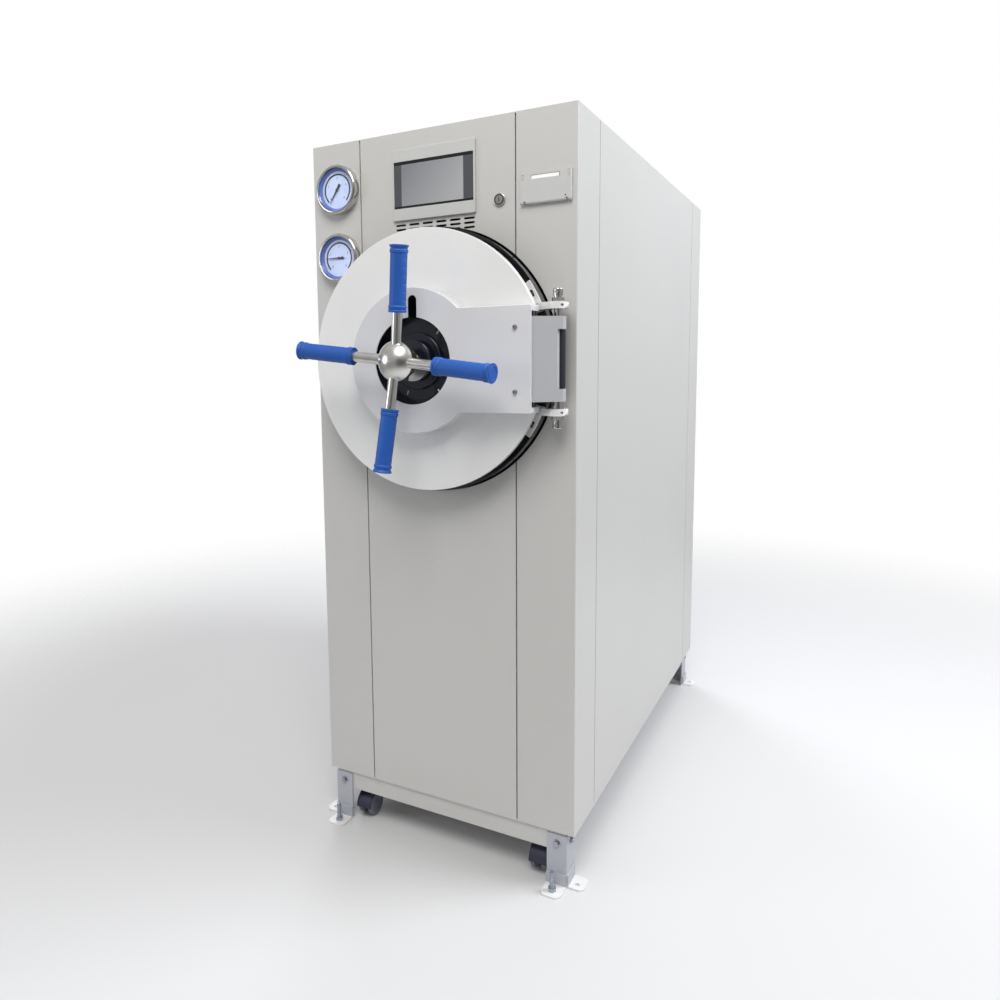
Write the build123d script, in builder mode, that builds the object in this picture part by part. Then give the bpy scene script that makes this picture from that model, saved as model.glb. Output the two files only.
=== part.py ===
from build123d import *
from math import asin, cos, degrees, radians, sin, sqrt
import os

# A horizontal cylindrical steam sterilizer in a sheet metal cabinet, with a round
# quick-opening door that a four-spoke handwheel locks.
# Millimetres, +Z up. The origin is on the floor, in the middle of the four anchor
# holes, which is also the middle of the cabinet. The front looks along -Y.
os.makedirs("parts", exist_ok=True)

# Cabinet
cabinet_width = 650
cabinet_depth = 1250
cabinet_height = 1525
floor_gap = 125
sheet = 2
seam = 3
return_edge = 16
bend_radius = 3
corner_face = 132
corner_side = 138

# Base frame, legs and feet
rail_height = 46
rail_flange = 40
rail_wall = 4
frame_inset_x = 21
frame_inset_y = 6
leg_wall = 4
leg_face = 46
leg_side = 55
leg_drop = 8
foot_thickness = 4
foot_reach_front = 45
foot_reach_side = 38
foot_tab = 30
foot_chamfer = 9
anchor_hole_radius = 5.5
anchor_inset_y = 18
anchor_out_x = 19
stud_radius = 5
stud_height = 48
stud_out = 25
nut_radius = 9
nut_height = 8

# Casters
caster_inset_x = 90
caster_inset_y = 62
caster_plate = 90
caster_plate_thickness = 5
caster_wheel_width = 13
caster_web = 10
caster_trail = 18
caster_lift = 2
caster_head = 21
caster_axle_radius = 4
caster_stem_radius = 6
caster_top_radius = 17
caster_hood_gap = 3
caster_hood_wall = 3
caster_side_gap = 2
caster_cap_radius = 7
caster_dish_inset = 9
caster_dish_depth = 1.5
pin_clearance = 0.05

# Chamber
chamber_side_gap = 75
chamber_rear_gap = 88
chamber_wall = 5
head_depth = 125
instrument_band = 214
flange_width = 35
flange_out = 28
flange_back = 32
seat_depth = 20
lid_pocket_width = 16
lock_groove_depth = 10
lock_groove_back = 0
lock_groove_front = 17
gasket_inset = 2.5
gasket_width = 8.5
gasket_groove = 6
gasket_height = 12
gasket_gap = 0.5
panel_hole_gap = 3
saddle_thickness = 8
saddle_width = 420
saddle_wrap = 110
saddle_gap = 0.3
saddle_front = 240
saddle_rear_inset = 152

# Door
lid_clearance = 9
lid_front_out = 2
lid_boss_radius = 55
lid_rim_width = 25
lid_recess_depth = 5
bar_count = 8
bar_width = 24
bar_thickness = 12
bar_inner = 66
bar_inset = 7
bar_gap = 0.3
keeper_inset = 39
keeper_length = 26
keeper_wall = 7
door_cover_gap = 36
door_cover_inset = 6
door_cover_rim = 12
door_cover_cut = 21
arm_cover_radius = 152
arm_cover_half_height = 105.5
arm_cover_inset = 16
arm_cover_depth = 41
arm_cover_throat = 12
recess_radius = 91
notch_width = 21
notch_reach = 136
notch_offset = 3
arm_round = 88
arm_half_height = 60
arm_plate = 10
arm_flange = 8
arm_cover_gap = 7
hub_boss_radius = 60
hub_boss_thickness = 12
hub_foot_radius = 82
hub_foot_thickness = 4
hub_round = 3
hub_sleeve_radius = 30
hub_sleeve_back = 20

# Hinge
hinge_beside_flange = 15
hinge_before_flange = 14
hinge_pin_radius = 8
barrel_radius = 15
barrel_half_height = 74
lug_inner = 98
lug_thickness = 14
lug_radius = 21
lug_root_width = 36
lug_root_inset = 9
lug_root_thickness = 8
strip_thickness = 6
strip_width = 17
strip_start = 20
strip_sweep = 14
pin_end = 26
pin_head_radius = 10
pin_head_height = 14
pin_hole_radius = 3
lug_tip_hole_radius = 2.5
strip_slot_length = 15
strip_slot_width = 7
collar_radius = 13
hinge_cover_half_height = 83
hinge_cover_reach = 16
hinge_cover_return = 18
hinge_cover_step = 9
hinge_cover_step_half = 58

# Handwheel
wheel_turn = 6.5
shaft_radius = 16
shaft_back = 24
collar_wheel_radius = 42
collar_gap = 5
collar_thickness = 12
wheel_stand_off = 35
wheel_hub_radius = 34
wheel_hub_length = 30
dome_radius = 41
dome_height = 24
rod_radius = 11
rod_root_inset = 4
rod_rise = 21
grip_start = 98
grip_end = 228
grip_radius = 17
grip_ring_radius = 18.5
grip_flare = 1
grip_notch_count = 6
grip_notch_radius = 5
grip_notch_depth = 1.2
grip_notch_start = 24
grip_notch_end = 26
grip_dimple_radius = 2
grip_dimple_depth = 1

# Instruments on the front
gauge_side_inset = 75
gauge_top_inset = 105
gauge_flange_gap = 7
gauge_radius = 55
gauge_body_radius = 45
gauge_out = 20
gauge_back = 35
gauge_window = 48
dial_out = 7
needle_angles = (215, 270)
screen_top_inset = 114
screen_width = 204
screen_height = 152
screen_out = 6
display_width = 196
display_height = 100
screen_back = 32
vent_columns = 6
vent_rows = 3
vent_length = 25.5
vent_slot = 4.5
vent_pitch_x = 34
vent_pitch_z = 9.5
vent_below_screen = 94.5
key_share = 0.614
key_top_inset = 169.5
key_radius = 13
key_plug_radius = 8
key_body_radius = 11
key_back = 22
printer_side_inset = 65
printer_top_inset = 156.5
printer_width = 108
printer_height = 61
printer_out = 9.2
printer_wall = 2
printer_depth = 50
printer_pin_radius = 1.5
printer_roll_radius = 4.2
printer_pin_out = 5
paper_slot_width = 60
paper_slot_height = 8
paper_slot_drop = 9
latch_width = 4
latch_height = 11
latch_inset = 5
latch_drop = 3
latch_depth = 1
lamp_radius = 1.6
lamp_inset_x = 12
lamp_inset_z = 10

# Places that follow from the sizes above
front_y = -cabinet_depth / 2
top_z = floor_gap + cabinet_height
chamber_radius = cabinet_width / 2 - chamber_side_gap
flange_radius = chamber_radius + flange_width
axis_z = top_z - instrument_band - flange_radius
chamber_length = cabinet_depth - flange_back - head_depth - chamber_wall - chamber_rear_gap
lid_pocket_radius = chamber_radius + lid_pocket_width
lock_groove_radius = lid_pocket_radius + lock_groove_depth
gasket_inner = chamber_radius + gasket_inset
frame_x = cabinet_width / 2 - frame_inset_x
frame_y = cabinet_depth / 2 - frame_inset_y
panel_foot = floor_gap + sheet
panel_height = cabinet_height - 2 * sheet
center_half = cabinet_width / 2 - corner_face - seam
lid_radius = lid_pocket_radius - lid_clearance
door_cover_out = flange_out + door_cover_gap
door_cover_radius = flange_radius - door_cover_inset
door_cover_trim = door_cover_radius - door_cover_cut
arm_cover_end = flange_radius - arm_cover_inset
arm_cover_out = door_cover_out + arm_cover_depth
arm_end = arm_cover_end - arm_cover_gap
arm_flange_out = arm_cover_out - arm_cover_gap
arm_face = door_cover_out + arm_plate
hub_boss_out = arm_face + hub_boss_thickness
hinge_x = flange_radius + hinge_beside_flange
hinge_out = flange_out + hinge_before_flange
hinge_y = front_y - hinge_out
wheel_hub_back = arm_cover_out + wheel_stand_off
wheel_hub_out = wheel_hub_back + wheel_hub_length
rod_root_out = wheel_hub_out - rod_root_inset
gauge_x = gauge_side_inset - cabinet_width / 2
gauge_reach = flange_radius + gauge_radius + gauge_flange_gap
gauge_heights = (top_z - gauge_top_inset, axis_z + sqrt(gauge_reach ** 2 - gauge_x ** 2))
screen_center_z = top_z - screen_top_inset
vent_center_z = screen_center_z - vent_below_screen
key_x = screen_width / 2 + key_share * (center_half - screen_width / 2)
key_z = top_z - key_top_inset
printer_x = cabinet_width / 2 - printer_side_inset
printer_z = top_z - printer_top_inset
door_axis = Axis((0, front_y, axis_z), (0, -1, 0))
sides = ((-1, "left"), (1, "right"))
ends = ((-1, "front"), (1, "rear"))


def save(piece, name):
    piece.label = name
    export_step(piece, f"parts/{name}.step")


def front_plane(out):
    # A plane parallel to the front panels, out mm before their face.
    return Plane.XZ.offset(cabinet_depth / 2 + out)


def profile_point(radius, out):
    # A point of a turned profile about the chamber's axis, on Plane.YZ.
    return (front_y - out, axis_z + radius)


def rectangle_between(x0, x1, y0, y1, mode=Mode.ADD):
    with Locations(((x0 + x1) / 2, (y0 + y1) / 2)):
        Rectangle(abs(x1 - x0), abs(y1 - y0), mode=mode)


# Base frame: a ring of channels under a full-size bottom sheet, with caster plates.
with BuildPart() as base_frame:
    with BuildSketch(Plane.XY.offset(floor_gap - rail_height)):
        Rectangle(2 * frame_x, 2 * frame_y)
        Rectangle(2 * (frame_x - rail_flange), 2 * (frame_y - rail_flange), mode=Mode.SUBTRACT)
    extrude(amount=rail_height)
    with BuildSketch(Plane.XY.offset(floor_gap - rail_height + rail_wall)):
        Rectangle(2 * (frame_x - rail_wall), 2 * (frame_y - rail_wall))
    extrude(amount=rail_height - 2 * rail_wall, mode=Mode.SUBTRACT)
    with BuildSketch(Plane.XY.offset(floor_gap)):
        Rectangle(cabinet_width, cabinet_depth)
    extrude(amount=sheet)
    with BuildSketch(Plane.XY.offset(floor_gap - rail_height)):
        for side, _ in sides:
            for end, _ in ends:
                rectangle_between(side * frame_x, side * (frame_x - caster_plate),
                                  end * frame_y, end * (frame_y - caster_plate))
    extrude(amount=caster_plate_thickness)
    with BuildSketch(Plane.XY.offset(floor_gap - rail_height)):
        for side, _ in sides:
            for end, _ in ends:
                with Locations((side * (cabinet_width / 2 - caster_inset_x),
                                end * (cabinet_depth / 2 - caster_inset_y))):
                    Circle(caster_stem_radius + pin_clearance)
    extrude(amount=caster_plate_thickness, mode=Mode.SUBTRACT)
save(base_frame.part, "base_frame")

# Legs: an angle bolted round each frame corner, with two anchor angles on its foot.
leg_x = frame_x + leg_wall
leg_y = frame_y + leg_wall
anchor_x = leg_x + anchor_out_x
anchor_y = cabinet_depth / 2 - anchor_inset_y
stud_x = leg_x - leg_face / 2
stud_y = cabinet_depth / 2 + stud_out
for side, side_name in sides:
    for end, end_name in ends:
        with BuildPart() as leg:
            with BuildSketch(Plane.XY):
                rectangle_between(side * leg_x, side * (leg_x - leg_face), end * leg_y, end * frame_y)
                rectangle_between(side * leg_x, side * frame_x, end * leg_y, end * (leg_y - leg_side))
            extrude(amount=floor_gap - leg_drop)
            with BuildSketch(Plane.XY):
                rectangle_between(side * leg_x, side * (leg_x - leg_face), end * leg_y,
                                  end * (cabinet_depth / 2 + foot_reach_front))
                rectangle_between(side * leg_x, side * (leg_x + foot_reach_side), end * leg_y,
                                  end * (leg_y - leg_face))
                with Locations((side * anchor_x, end * anchor_y)):
                    Circle(anchor_hole_radius, mode=Mode.SUBTRACT)
            extrude(amount=foot_thickness)
            with BuildSketch(Plane.XY):
                rectangle_between(side * leg_x, side * (leg_x - leg_face), end * leg_y, end * (leg_y + leg_wall))
                rectangle_between(side * leg_x, side * (leg_x + leg_wall), end * leg_y, end * (leg_y - leg_face))
            extrude(amount=foot_tab)
            with BuildSketch(Plane.XY):
                with Locations((side * stud_x, end * stud_y)):
                    Circle(stud_radius)
            extrude(amount=stud_height)
            with BuildSketch(Plane.XY.offset(foot_thickness)):
                with Locations((side * stud_x, end * stud_y)):
                    RegularPolygon(nut_radius, 6)
            extrude(amount=nut_height)
            plate_edges = leg.edges().filter_by(Axis.Z).filter_by(lambda e: abs(e.length - foot_thickness) < 0.01)
            outer_y = cabinet_depth / 2 + foot_reach_front - 0.1
            outer_x = leg_x + foot_reach_side - 0.1
            outer_edges = plate_edges.filter_by(lambda e: abs(e.center().Y) > outer_y or abs(e.center().X) > outer_x)
            chamfer(outer_edges, foot_chamfer)
        save(leg.part, f"leg_{end_name}_{side_name}")

# Casters: twin wheels on one axle, under a hood that swivels on a stem.
caster_wheel_radius = (floor_gap - rail_height - caster_lift - caster_head) / 2
caster_axle_z = caster_lift + caster_wheel_radius
hood_radius = caster_wheel_radius + caster_hood_gap
caster_half_width = caster_web / 2 + caster_side_gap + caster_wheel_width
stem_foot = floor_gap - rail_height - 1
for side, side_name in sides:
    for end, end_name in ends:
        caster_x = side * (cabinet_width / 2 - caster_inset_x)
        caster_y = end * (cabinet_depth / 2 - caster_inset_y)
        axle_y = caster_y + end * caster_trail
        wheel_plane = Plane.YZ.offset(caster_x)
        with BuildPart() as fork:
            with BuildSketch(wheel_plane):
                with Locations((axle_y, caster_axle_z)):
                    Circle(hood_radius + caster_hood_wall)
                rectangle_between(caster_y - caster_top_radius, caster_y + caster_top_radius,
                                  caster_axle_z, stem_foot)
                rectangle_between(axle_y - 2 * hood_radius, axle_y + 2 * hood_radius,
                                  -hood_radius, caster_axle_z, mode=Mode.SUBTRACT)
            extrude(amount=caster_half_width, both=True)
            with BuildSketch(wheel_plane):
                with Locations((axle_y, caster_axle_z)):
                    Circle(hood_radius)
            extrude(amount=caster_half_width, both=True, mode=Mode.SUBTRACT)
            with BuildSketch(wheel_plane):
                with Locations((axle_y, caster_axle_z)):
                    Circle(hood_radius + caster_hood_wall / 2)
                rectangle_between(axle_y - 2 * hood_radius, axle_y + 2 * hood_radius,
                                  -hood_radius, caster_axle_z - 2 * caster_axle_radius, mode=Mode.SUBTRACT)
            extrude(amount=caster_web / 2, both=True)
            with BuildSketch(wheel_plane):
                with Locations((axle_y, caster_axle_z)):
                    Circle(caster_axle_radius + pin_clearance)
            extrude(amount=caster_web, both=True, mode=Mode.SUBTRACT)
            with BuildSketch(Plane.XY.offset(stem_foot)):
                with Locations((caster_x, caster_y)):
                    Circle(caster_stem_radius)
            extrude(amount=caster_plate_thickness + 1)
        save(fork.part, f"caster_{end_name}_{side_name}_fork")
        with BuildPart() as wheel:
            with BuildSketch(wheel_plane):
                with Locations((axle_y, caster_axle_z)):
                    Circle(caster_wheel_radius)
            extrude(amount=caster_half_width, both=True)
            with BuildSketch(wheel_plane):
                with Locations((axle_y, caster_axle_z)):
                    Circle(caster_wheel_radius)
                    Circle(caster_axle_radius, mode=Mode.SUBTRACT)
            extrude(amount=caster_web / 2 + caster_side_gap, both=True, mode=Mode.SUBTRACT)
            fillet(wheel.edges().filter_by(GeomType.CIRCLE).group_by(SortBy.RADIUS)[-1], 3)
            for face_side, _ in sides:
                with BuildSketch(wheel_plane.offset(face_side * caster_half_width)):
                    with Locations((axle_y, caster_axle_z)):
                        Circle(caster_wheel_radius - caster_dish_inset)
                        Circle(caster_cap_radius, mode=Mode.SUBTRACT)
                extrude(amount=-face_side * caster_dish_depth, mode=Mode.SUBTRACT)
        save(wheel.part, f"caster_{end_name}_{side_name}_wheel")

# Corner panels: one bent sheet round each corner, with its free edges turned in.
panel_hole = flange_radius + panel_hole_gap
printer_frame_width = printer_width - 10
printer_frame_height = printer_height - 12
for side, side_name in sides:
    for end, end_name in ends:
        with BuildPart() as corner:
            x_out, y_out = side * cabinet_width / 2, end * cabinet_depth / 2
            x_edge, y_edge = x_out - side * corner_face, y_out - end * corner_side
            with BuildSketch(Plane.XY.offset(panel_foot)):
                rectangle_between(x_out, x_edge, y_out, y_out - end * sheet)
                rectangle_between(x_out, x_out - side * sheet, y_out, y_edge)
                rectangle_between(x_edge, x_edge + side * sheet, y_out, y_out - end * return_edge)
                rectangle_between(x_out, x_out - side * return_edge, y_edge, y_edge + end * sheet)
            extrude(amount=panel_height)
            bend = corner.edges().filter_by(Axis.Z).sort_by(lambda e: side * e.center().X + end * e.center().Y)
            fillet(bend[-1], bend_radius)
            if end_name == "front":
                with BuildSketch(front_plane(1)):
                    with Locations((0, axis_z)):
                        Circle(panel_hole)
                    if side_name == "left":
                        with Locations(*[(gauge_x, height) for height in gauge_heights]):
                            Circle(gauge_body_radius + 1)
                    else:
                        with Locations((printer_x, printer_z)):
                            Rectangle(printer_frame_width, printer_frame_height)
                extrude(amount=-2 * return_edge, mode=Mode.SUBTRACT)
        save(corner.part, f"{end_name}_{side_name}_panel")

# Middle panels of the front and the rear, and the two sides.
for name, plane_out, low, high in (
    ("front_upper_panel", 0, axis_z, panel_foot + panel_height),
    ("front_lower_panel", 0, panel_foot, axis_z),
):
    with BuildPart() as middle:
        with BuildSketch(front_plane(0)):
            rectangle_between(-center_half, center_half, low, high)
        extrude(amount=-sheet)
        with BuildSketch(front_plane(0)):
            rectangle_between(-center_half, -center_half + sheet, low, high)
            rectangle_between(center_half - sheet, center_half, low, high)
        extrude(amount=-return_edge)
        with BuildSketch(front_plane(1)):
            with Locations((0, axis_z)):
                Circle(panel_hole)
            if name == "front_upper_panel":
                with Locations((0, screen_center_z)):
                    Rectangle(screen_width - 16, screen_height - 16)
                with Locations((key_x, key_z)):
                    Circle(key_body_radius + 0.2)
                with Locations((0, vent_center_z)):
                    with GridLocations(vent_pitch_x, vent_pitch_z, vent_columns, vent_rows):
                        SlotOverall(vent_length, vent_slot)
        extrude(amount=-2 * return_edge, mode=Mode.SUBTRACT)
    save(middle.part, name)

with BuildPart() as rear_panel:
    with BuildSketch(Plane.XY.offset(panel_foot)):
        rear_y = cabinet_depth / 2
        rectangle_between(-center_half, center_half, rear_y, rear_y - sheet)
        for side, _ in sides:
            rectangle_between(side * center_half, side * (center_half - sheet), rear_y, rear_y - return_edge)
    extrude(amount=panel_height)
save(rear_panel.part, "rear_panel")

side_half = cabinet_depth / 2 - corner_side - seam
for side, side_name in sides:
    with BuildPart() as side_panel:
        with BuildSketch(Plane.XY.offset(panel_foot)):
            side_x = side * cabinet_width / 2
            rectangle_between(side_x, side_x - side * sheet, -side_half, side_half)
            for end, _ in ends:
                rectangle_between(side_x, side_x - side * return_edge, end * side_half,
                                  end * (side_half - sheet))
        extrude(amount=panel_height)
    save(side_panel.part, f"side_panel_{side_name}")

with BuildPart() as top_panel:
    with BuildSketch(Plane.XY.offset(top_z - sheet)):
        RectangleRounded(cabinet_width, cabinet_depth, bend_radius)
    extrude(amount=sheet)
save(top_panel.part, "top_panel")

# Pressure vessel: a locking ring at the mouth, a shell with a dished rear end, and cradles.
with BuildPart() as vessel_flange:
    with BuildSketch(Plane.YZ):
        with BuildLine():
            Polyline(
                profile_point(flange_radius, flange_out),
                profile_point(flange_radius, -flange_back),
                profile_point(chamber_radius, -flange_back),
                profile_point(chamber_radius, -seat_depth),
                profile_point(gasket_inner, -seat_depth),
                profile_point(gasket_inner, -seat_depth - gasket_groove),
                profile_point(gasket_inner + gasket_width, -seat_depth - gasket_groove),
                profile_point(gasket_inner + gasket_width, -seat_depth),
                profile_point(lid_pocket_radius, -seat_depth),
                profile_point(lid_pocket_radius, lock_groove_back),
                profile_point(lock_groove_radius, lock_groove_back),
                profile_point(lock_groove_radius, lock_groove_front),
                profile_point(lid_pocket_radius, lock_groove_front),
                profile_point(lid_pocket_radius, flange_out),
                close=True,
            )
        make_face()
    revolve(axis=door_axis)
save(vessel_flange.part, "vessel_flange")

gasket_foot = -seat_depth - gasket_groove
with BuildPart() as door_gasket:
    with BuildSketch(front_plane(gasket_foot)):
        with Locations((0, axis_z)):
            Circle(gasket_inner + gasket_width)
            Circle(gasket_inner, mode=Mode.SUBTRACT)
    extrude(amount=gasket_height)
save(door_gasket.part, "door_gasket")

head_start = -flange_back - chamber_length
with BuildPart() as vessel_shell:
    with BuildSketch(Plane.YZ):
        for radius, depth, mode in (
            (chamber_radius + chamber_wall, head_depth + chamber_wall, Mode.ADD),
            (chamber_radius, head_depth, Mode.SUBTRACT),
        ):
            with BuildLine():
                Polyline(profile_point(0, head_start), profile_point(0, -flange_back),
                         profile_point(radius, -flange_back), profile_point(radius, head_start))
                EllipticalCenterArc(profile_point(0, head_start), depth, radius, start_angle=0, arc_size=90)
                Line(profile_point(0, head_start - depth), profile_point(0, head_start))
            make_face(mode=mode)
    revolve(axis=door_axis)
save(vessel_shell.part, "vessel_shell")

shell_outside = chamber_radius + chamber_wall
with BuildPart() as vessel_cradles:
    for saddle_depth in (saddle_front, flange_back + chamber_length - saddle_rear_inset):
        with BuildSketch(front_plane(-saddle_depth)):
            rectangle_between(-saddle_width / 2, saddle_width / 2, panel_foot, axis_z - saddle_wrap)
            with Locations((0, axis_z)):
                Circle(shell_outside + saddle_gap, mode=Mode.SUBTRACT)
            with Locations((0, (panel_foot + axis_z - shell_outside) / 2)):
                RectangleRounded(saddle_width - 120, axis_z - shell_outside - panel_foot - 160, 30,
                                 mode=Mode.SUBTRACT)
        extrude(amount=-saddle_thickness)
save(vessel_cradles.part, "vessel_cradles")

# Door lid: a plate with a turned boss, and keepers that guide the locking bars.
bar_angles = [(index + 0.5) * 360 / bar_count for index in range(bar_count)]
lid_back = gasket_foot + gasket_height + gasket_gap
lid_recess_radius = lid_radius - lid_rim_width
bar_outer = lid_radius - bar_inset
keeper_radius = lid_radius - keeper_inset
bar_back = lid_front_out + bar_gap
with BuildPart() as door_lid:
    with BuildSketch(Plane.YZ):
        with BuildLine():
            Polyline(
                profile_point(hub_sleeve_radius + bar_gap, hub_sleeve_back - 3),
                profile_point(0, hub_sleeve_back - 3),
                profile_point(0, lid_back + lid_recess_depth),
                profile_point(lid_recess_radius, lid_back + lid_recess_depth),
                profile_point(lid_recess_radius + 2, lid_back),
                profile_point(lid_radius, lid_back),
                profile_point(lid_radius, lid_front_out),
                profile_point(lid_boss_radius, lid_front_out),
                profile_point(lid_boss_radius, door_cover_out),
                profile_point(hub_sleeve_radius + bar_gap, door_cover_out),
                close=True,
            )
        make_face()
    revolve(axis=door_axis)
    with BuildSketch(front_plane(lid_front_out)):
        for angle in bar_angles:
            with Locations(Location((0, axis_z, 0), (0, 0, angle))):
                with Locations((keeper_radius, 0)):
                    Rectangle(keeper_length, bar_width + 2 * keeper_wall)
    extrude(amount=bar_thickness + 2 * bar_gap + keeper_wall)
    with BuildSketch(front_plane(lid_front_out)):
        for angle in bar_angles:
            with Locations(Location((0, axis_z, 0), (0, 0, angle))):
                with Locations((keeper_radius, 0)):
                    Rectangle(2 * keeper_length, bar_width + 2 * bar_gap)
    extrude(amount=bar_thickness + 2 * bar_gap, mode=Mode.SUBTRACT)
save(door_lid.part, "door_lid")

with BuildPart() as locking_bars:
    with BuildSketch(front_plane(bar_back)):
        for angle in bar_angles:
            with Locations(Location((0, axis_z, 0), (0, 0, angle))):
                with Locations(((bar_inner + bar_outer) / 2, 0)):
                    RectangleRounded(bar_outer - bar_inner, bar_width, 4)
    extrude(amount=bar_thickness)
save(locking_bars.part, "locking_bars")

# Door cover: a thin spun disc that stands off the ring, trimmed beside the hinge.
with BuildPart() as door_cover:
    with BuildSketch(Plane.YZ):
        with BuildLine():
            Polyline(
                profile_point(lid_boss_radius + 1, door_cover_out),
                profile_point(door_cover_radius, door_cover_out),
                profile_point(door_cover_radius, door_cover_out - door_cover_rim),
                profile_point(door_cover_radius - sheet, door_cover_out - door_cover_rim),
                profile_point(door_cover_radius - sheet, door_cover_out - sheet),
                profile_point(lid_boss_radius + 1, door_cover_out - sheet),
                close=True,
            )
        make_face()
    revolve(axis=door_axis)
    fillet(door_cover.edges().filter_by(GeomType.CIRCLE).group_by(SortBy.RADIUS)[-1].sort_by(Axis.Y)[0], 1.5)
    with BuildSketch(front_plane(door_cover_out + 1)):
        rectangle_between(door_cover_trim, door_cover_radius + 10, axis_z - door_cover_radius,
                          axis_z + door_cover_radius)
    extrude(amount=-door_cover_rim - 2, mode=Mode.SUBTRACT)
save(door_cover.part, "door_cover")


# Arm cover: a keyhole shaped tray over the door's arm, with a round window for the hub.
def keyhole(radius, half_height, end):
    with Locations((0, axis_z)):
        Circle(radius)
    rectangle_between(0, end, axis_z - half_height, axis_z + half_height)


with BuildPart() as arm_cover:
    with BuildSketch(front_plane(door_cover_out)) as arm_cover_outline:
        keyhole(arm_cover_radius, arm_cover_half_height, arm_cover_end)
        outline_corners = arm_cover_outline.vertices().sort_by(Axis.X)
        fillet(outline_corners[-2:], bend_radius)
        fillet(outline_corners[-4:-2], arm_cover_throat)
    extrude(amount=arm_cover_out - door_cover_out)
    fillet(arm_cover.faces().sort_by(Axis.Y)[0].edges(), sheet - 0.2)
    with BuildSketch(front_plane(door_cover_out)):
        keyhole(arm_cover_radius - sheet, arm_cover_half_height - sheet, arm_cover_end - sheet)
    extrude(amount=arm_cover_out - door_cover_out - sheet, mode=Mode.SUBTRACT)
    with BuildSketch(front_plane(door_cover_out)):
        rectangle_between(arm_cover_end - 5, arm_cover_end + 5, axis_z - arm_cover_half_height + 12,
                          axis_z + arm_cover_half_height - 12)
    extrude(amount=arm_cover_out - door_cover_out - sheet, mode=Mode.SUBTRACT)
    with BuildSketch(front_plane(arm_cover_out)):
        with Locations((0, axis_z)):
            Circle(recess_radius)
        with Locations((notch_offset, axis_z + notch_reach / 2)):
            SlotOverall(notch_reach, notch_width, rotation=90)
    extrude(amount=-2 * sheet, mode=Mode.SUBTRACT)
save(arm_cover.part, "arm_cover")

# Door arm: a plate with turned-out flanges, two gussets and the hinge barrel.
hinge_point = (hinge_x, hinge_y)
with BuildPart() as door_arm:
    with BuildSketch(front_plane(door_cover_out)):
        keyhole(arm_round, arm_half_height, arm_end)
    extrude(amount=arm_plate)
    for side, _ in sides:
        flange_low = axis_z + side * arm_half_height - (arm_flange if side > 0 else 0)
        with BuildSketch(Plane.XY.offset(flange_low)):
            rectangle_between(arm_round, arm_end, front_y - door_cover_out, front_y - arm_flange_out)
        extrude(amount=arm_flange)
        with BuildSketch(Plane.XY.offset(flange_low)):
            rectangle_between(door_cover_trim + 2, arm_end, front_y - door_cover_out, front_y - arm_flange_out)
            with Locations(hinge_point):
                Circle(barrel_radius)
            make_hull()
        extrude(amount=arm_flange)
    with BuildSketch(Plane.XY.offset(axis_z)):
        with Locations(hinge_point):
            Circle(barrel_radius)
    extrude(amount=barrel_half_height, both=True)
    with BuildSketch(Plane.XY.offset(axis_z)):
        with Locations(hinge_point):
            Circle(hinge_pin_radius + pin_clearance)
    extrude(amount=barrel_half_height, both=True, mode=Mode.SUBTRACT)
    with BuildSketch(front_plane(door_cover_out)):
        with Locations((0, axis_z)):
            Circle(hub_sleeve_radius + bar_gap)
    extrude(amount=arm_plate, mode=Mode.SUBTRACT)
save(door_arm.part, "door_arm")

# Hinge cover: a folded sheet over the barrel, its right edge turned back.
with BuildPart() as hinge_cover:
    seat_out = arm_flange_out + bar_gap
    cover_right = hinge_x + hinge_cover_reach
    cover_right_y = hinge_y - barrel_radius - bar_gap - 5
    cover_back_y = cover_right_y + hinge_cover_return
    with BuildSketch(Plane.XY.offset(axis_z)):
        with BuildLine():
            Polyline(
                (arm_end - 14, front_y - seat_out),
                (arm_end, front_y - seat_out),
                (cover_right, cover_right_y),
                (cover_right, cover_back_y),
                (cover_right + sheet, cover_back_y),
                (cover_right + sheet, cover_right_y - 1),
                (arm_end + 1, front_y - seat_out - sheet),
                (arm_end - 14, front_y - seat_out - sheet),
                close=True,
            )
        make_face()
    extrude(amount=hinge_cover_half_height, both=True)
    step_x = cover_right + sheet - hinge_cover_step
    cover_slope = (cover_right_y - front_y + seat_out) / (cover_right - arm_end)
    step_y = cover_right_y - cover_slope * (cover_right - step_x)
    with BuildSketch(Plane.XY.offset(axis_z)):
        rectangle_between(step_x, cover_right + 2 * sheet, step_y - hinge_cover_step, cover_back_y)
    extrude(amount=hinge_cover_step_half, both=True, mode=Mode.SUBTRACT)
    with BuildSketch(Plane.XY.offset(axis_z)):
        rectangle_between(step_x - sheet, step_x, step_y - sheet / 2, hinge_y - barrel_radius - 1)
    extrude(amount=hinge_cover_step_half, both=True)
save(hinge_cover.part, "hinge_cover")

# Hub housing: a dark flanged bush in the arm that carries the handwheel's shaft.
with BuildPart() as lock_hub:
    with BuildSketch(front_plane(hub_sleeve_back)):
        with Locations((0, axis_z)):
            Circle(hub_sleeve_radius)
    extrude(amount=arm_face - hub_sleeve_back)
    with BuildSketch(front_plane(arm_face)):
        with Locations((0, axis_z)):
            Circle(hub_foot_radius)
    extrude(amount=hub_foot_thickness)
    with BuildSketch(front_plane(arm_face)):
        with Locations((0, axis_z)):
            Circle(hub_boss_radius)
    extrude(amount=hub_boss_out - arm_face)
    fillet(lock_hub.faces().sort_by(Axis.Y)[0].edges(), hub_round)
    with BuildSketch(front_plane(hub_sleeve_back)):
        with Locations((0, axis_z)):
            Circle(shaft_radius + pin_clearance)
    extrude(amount=hub_boss_out - hub_sleeve_back, mode=Mode.SUBTRACT)
save(lock_hub.part, "lock_hub")

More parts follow.
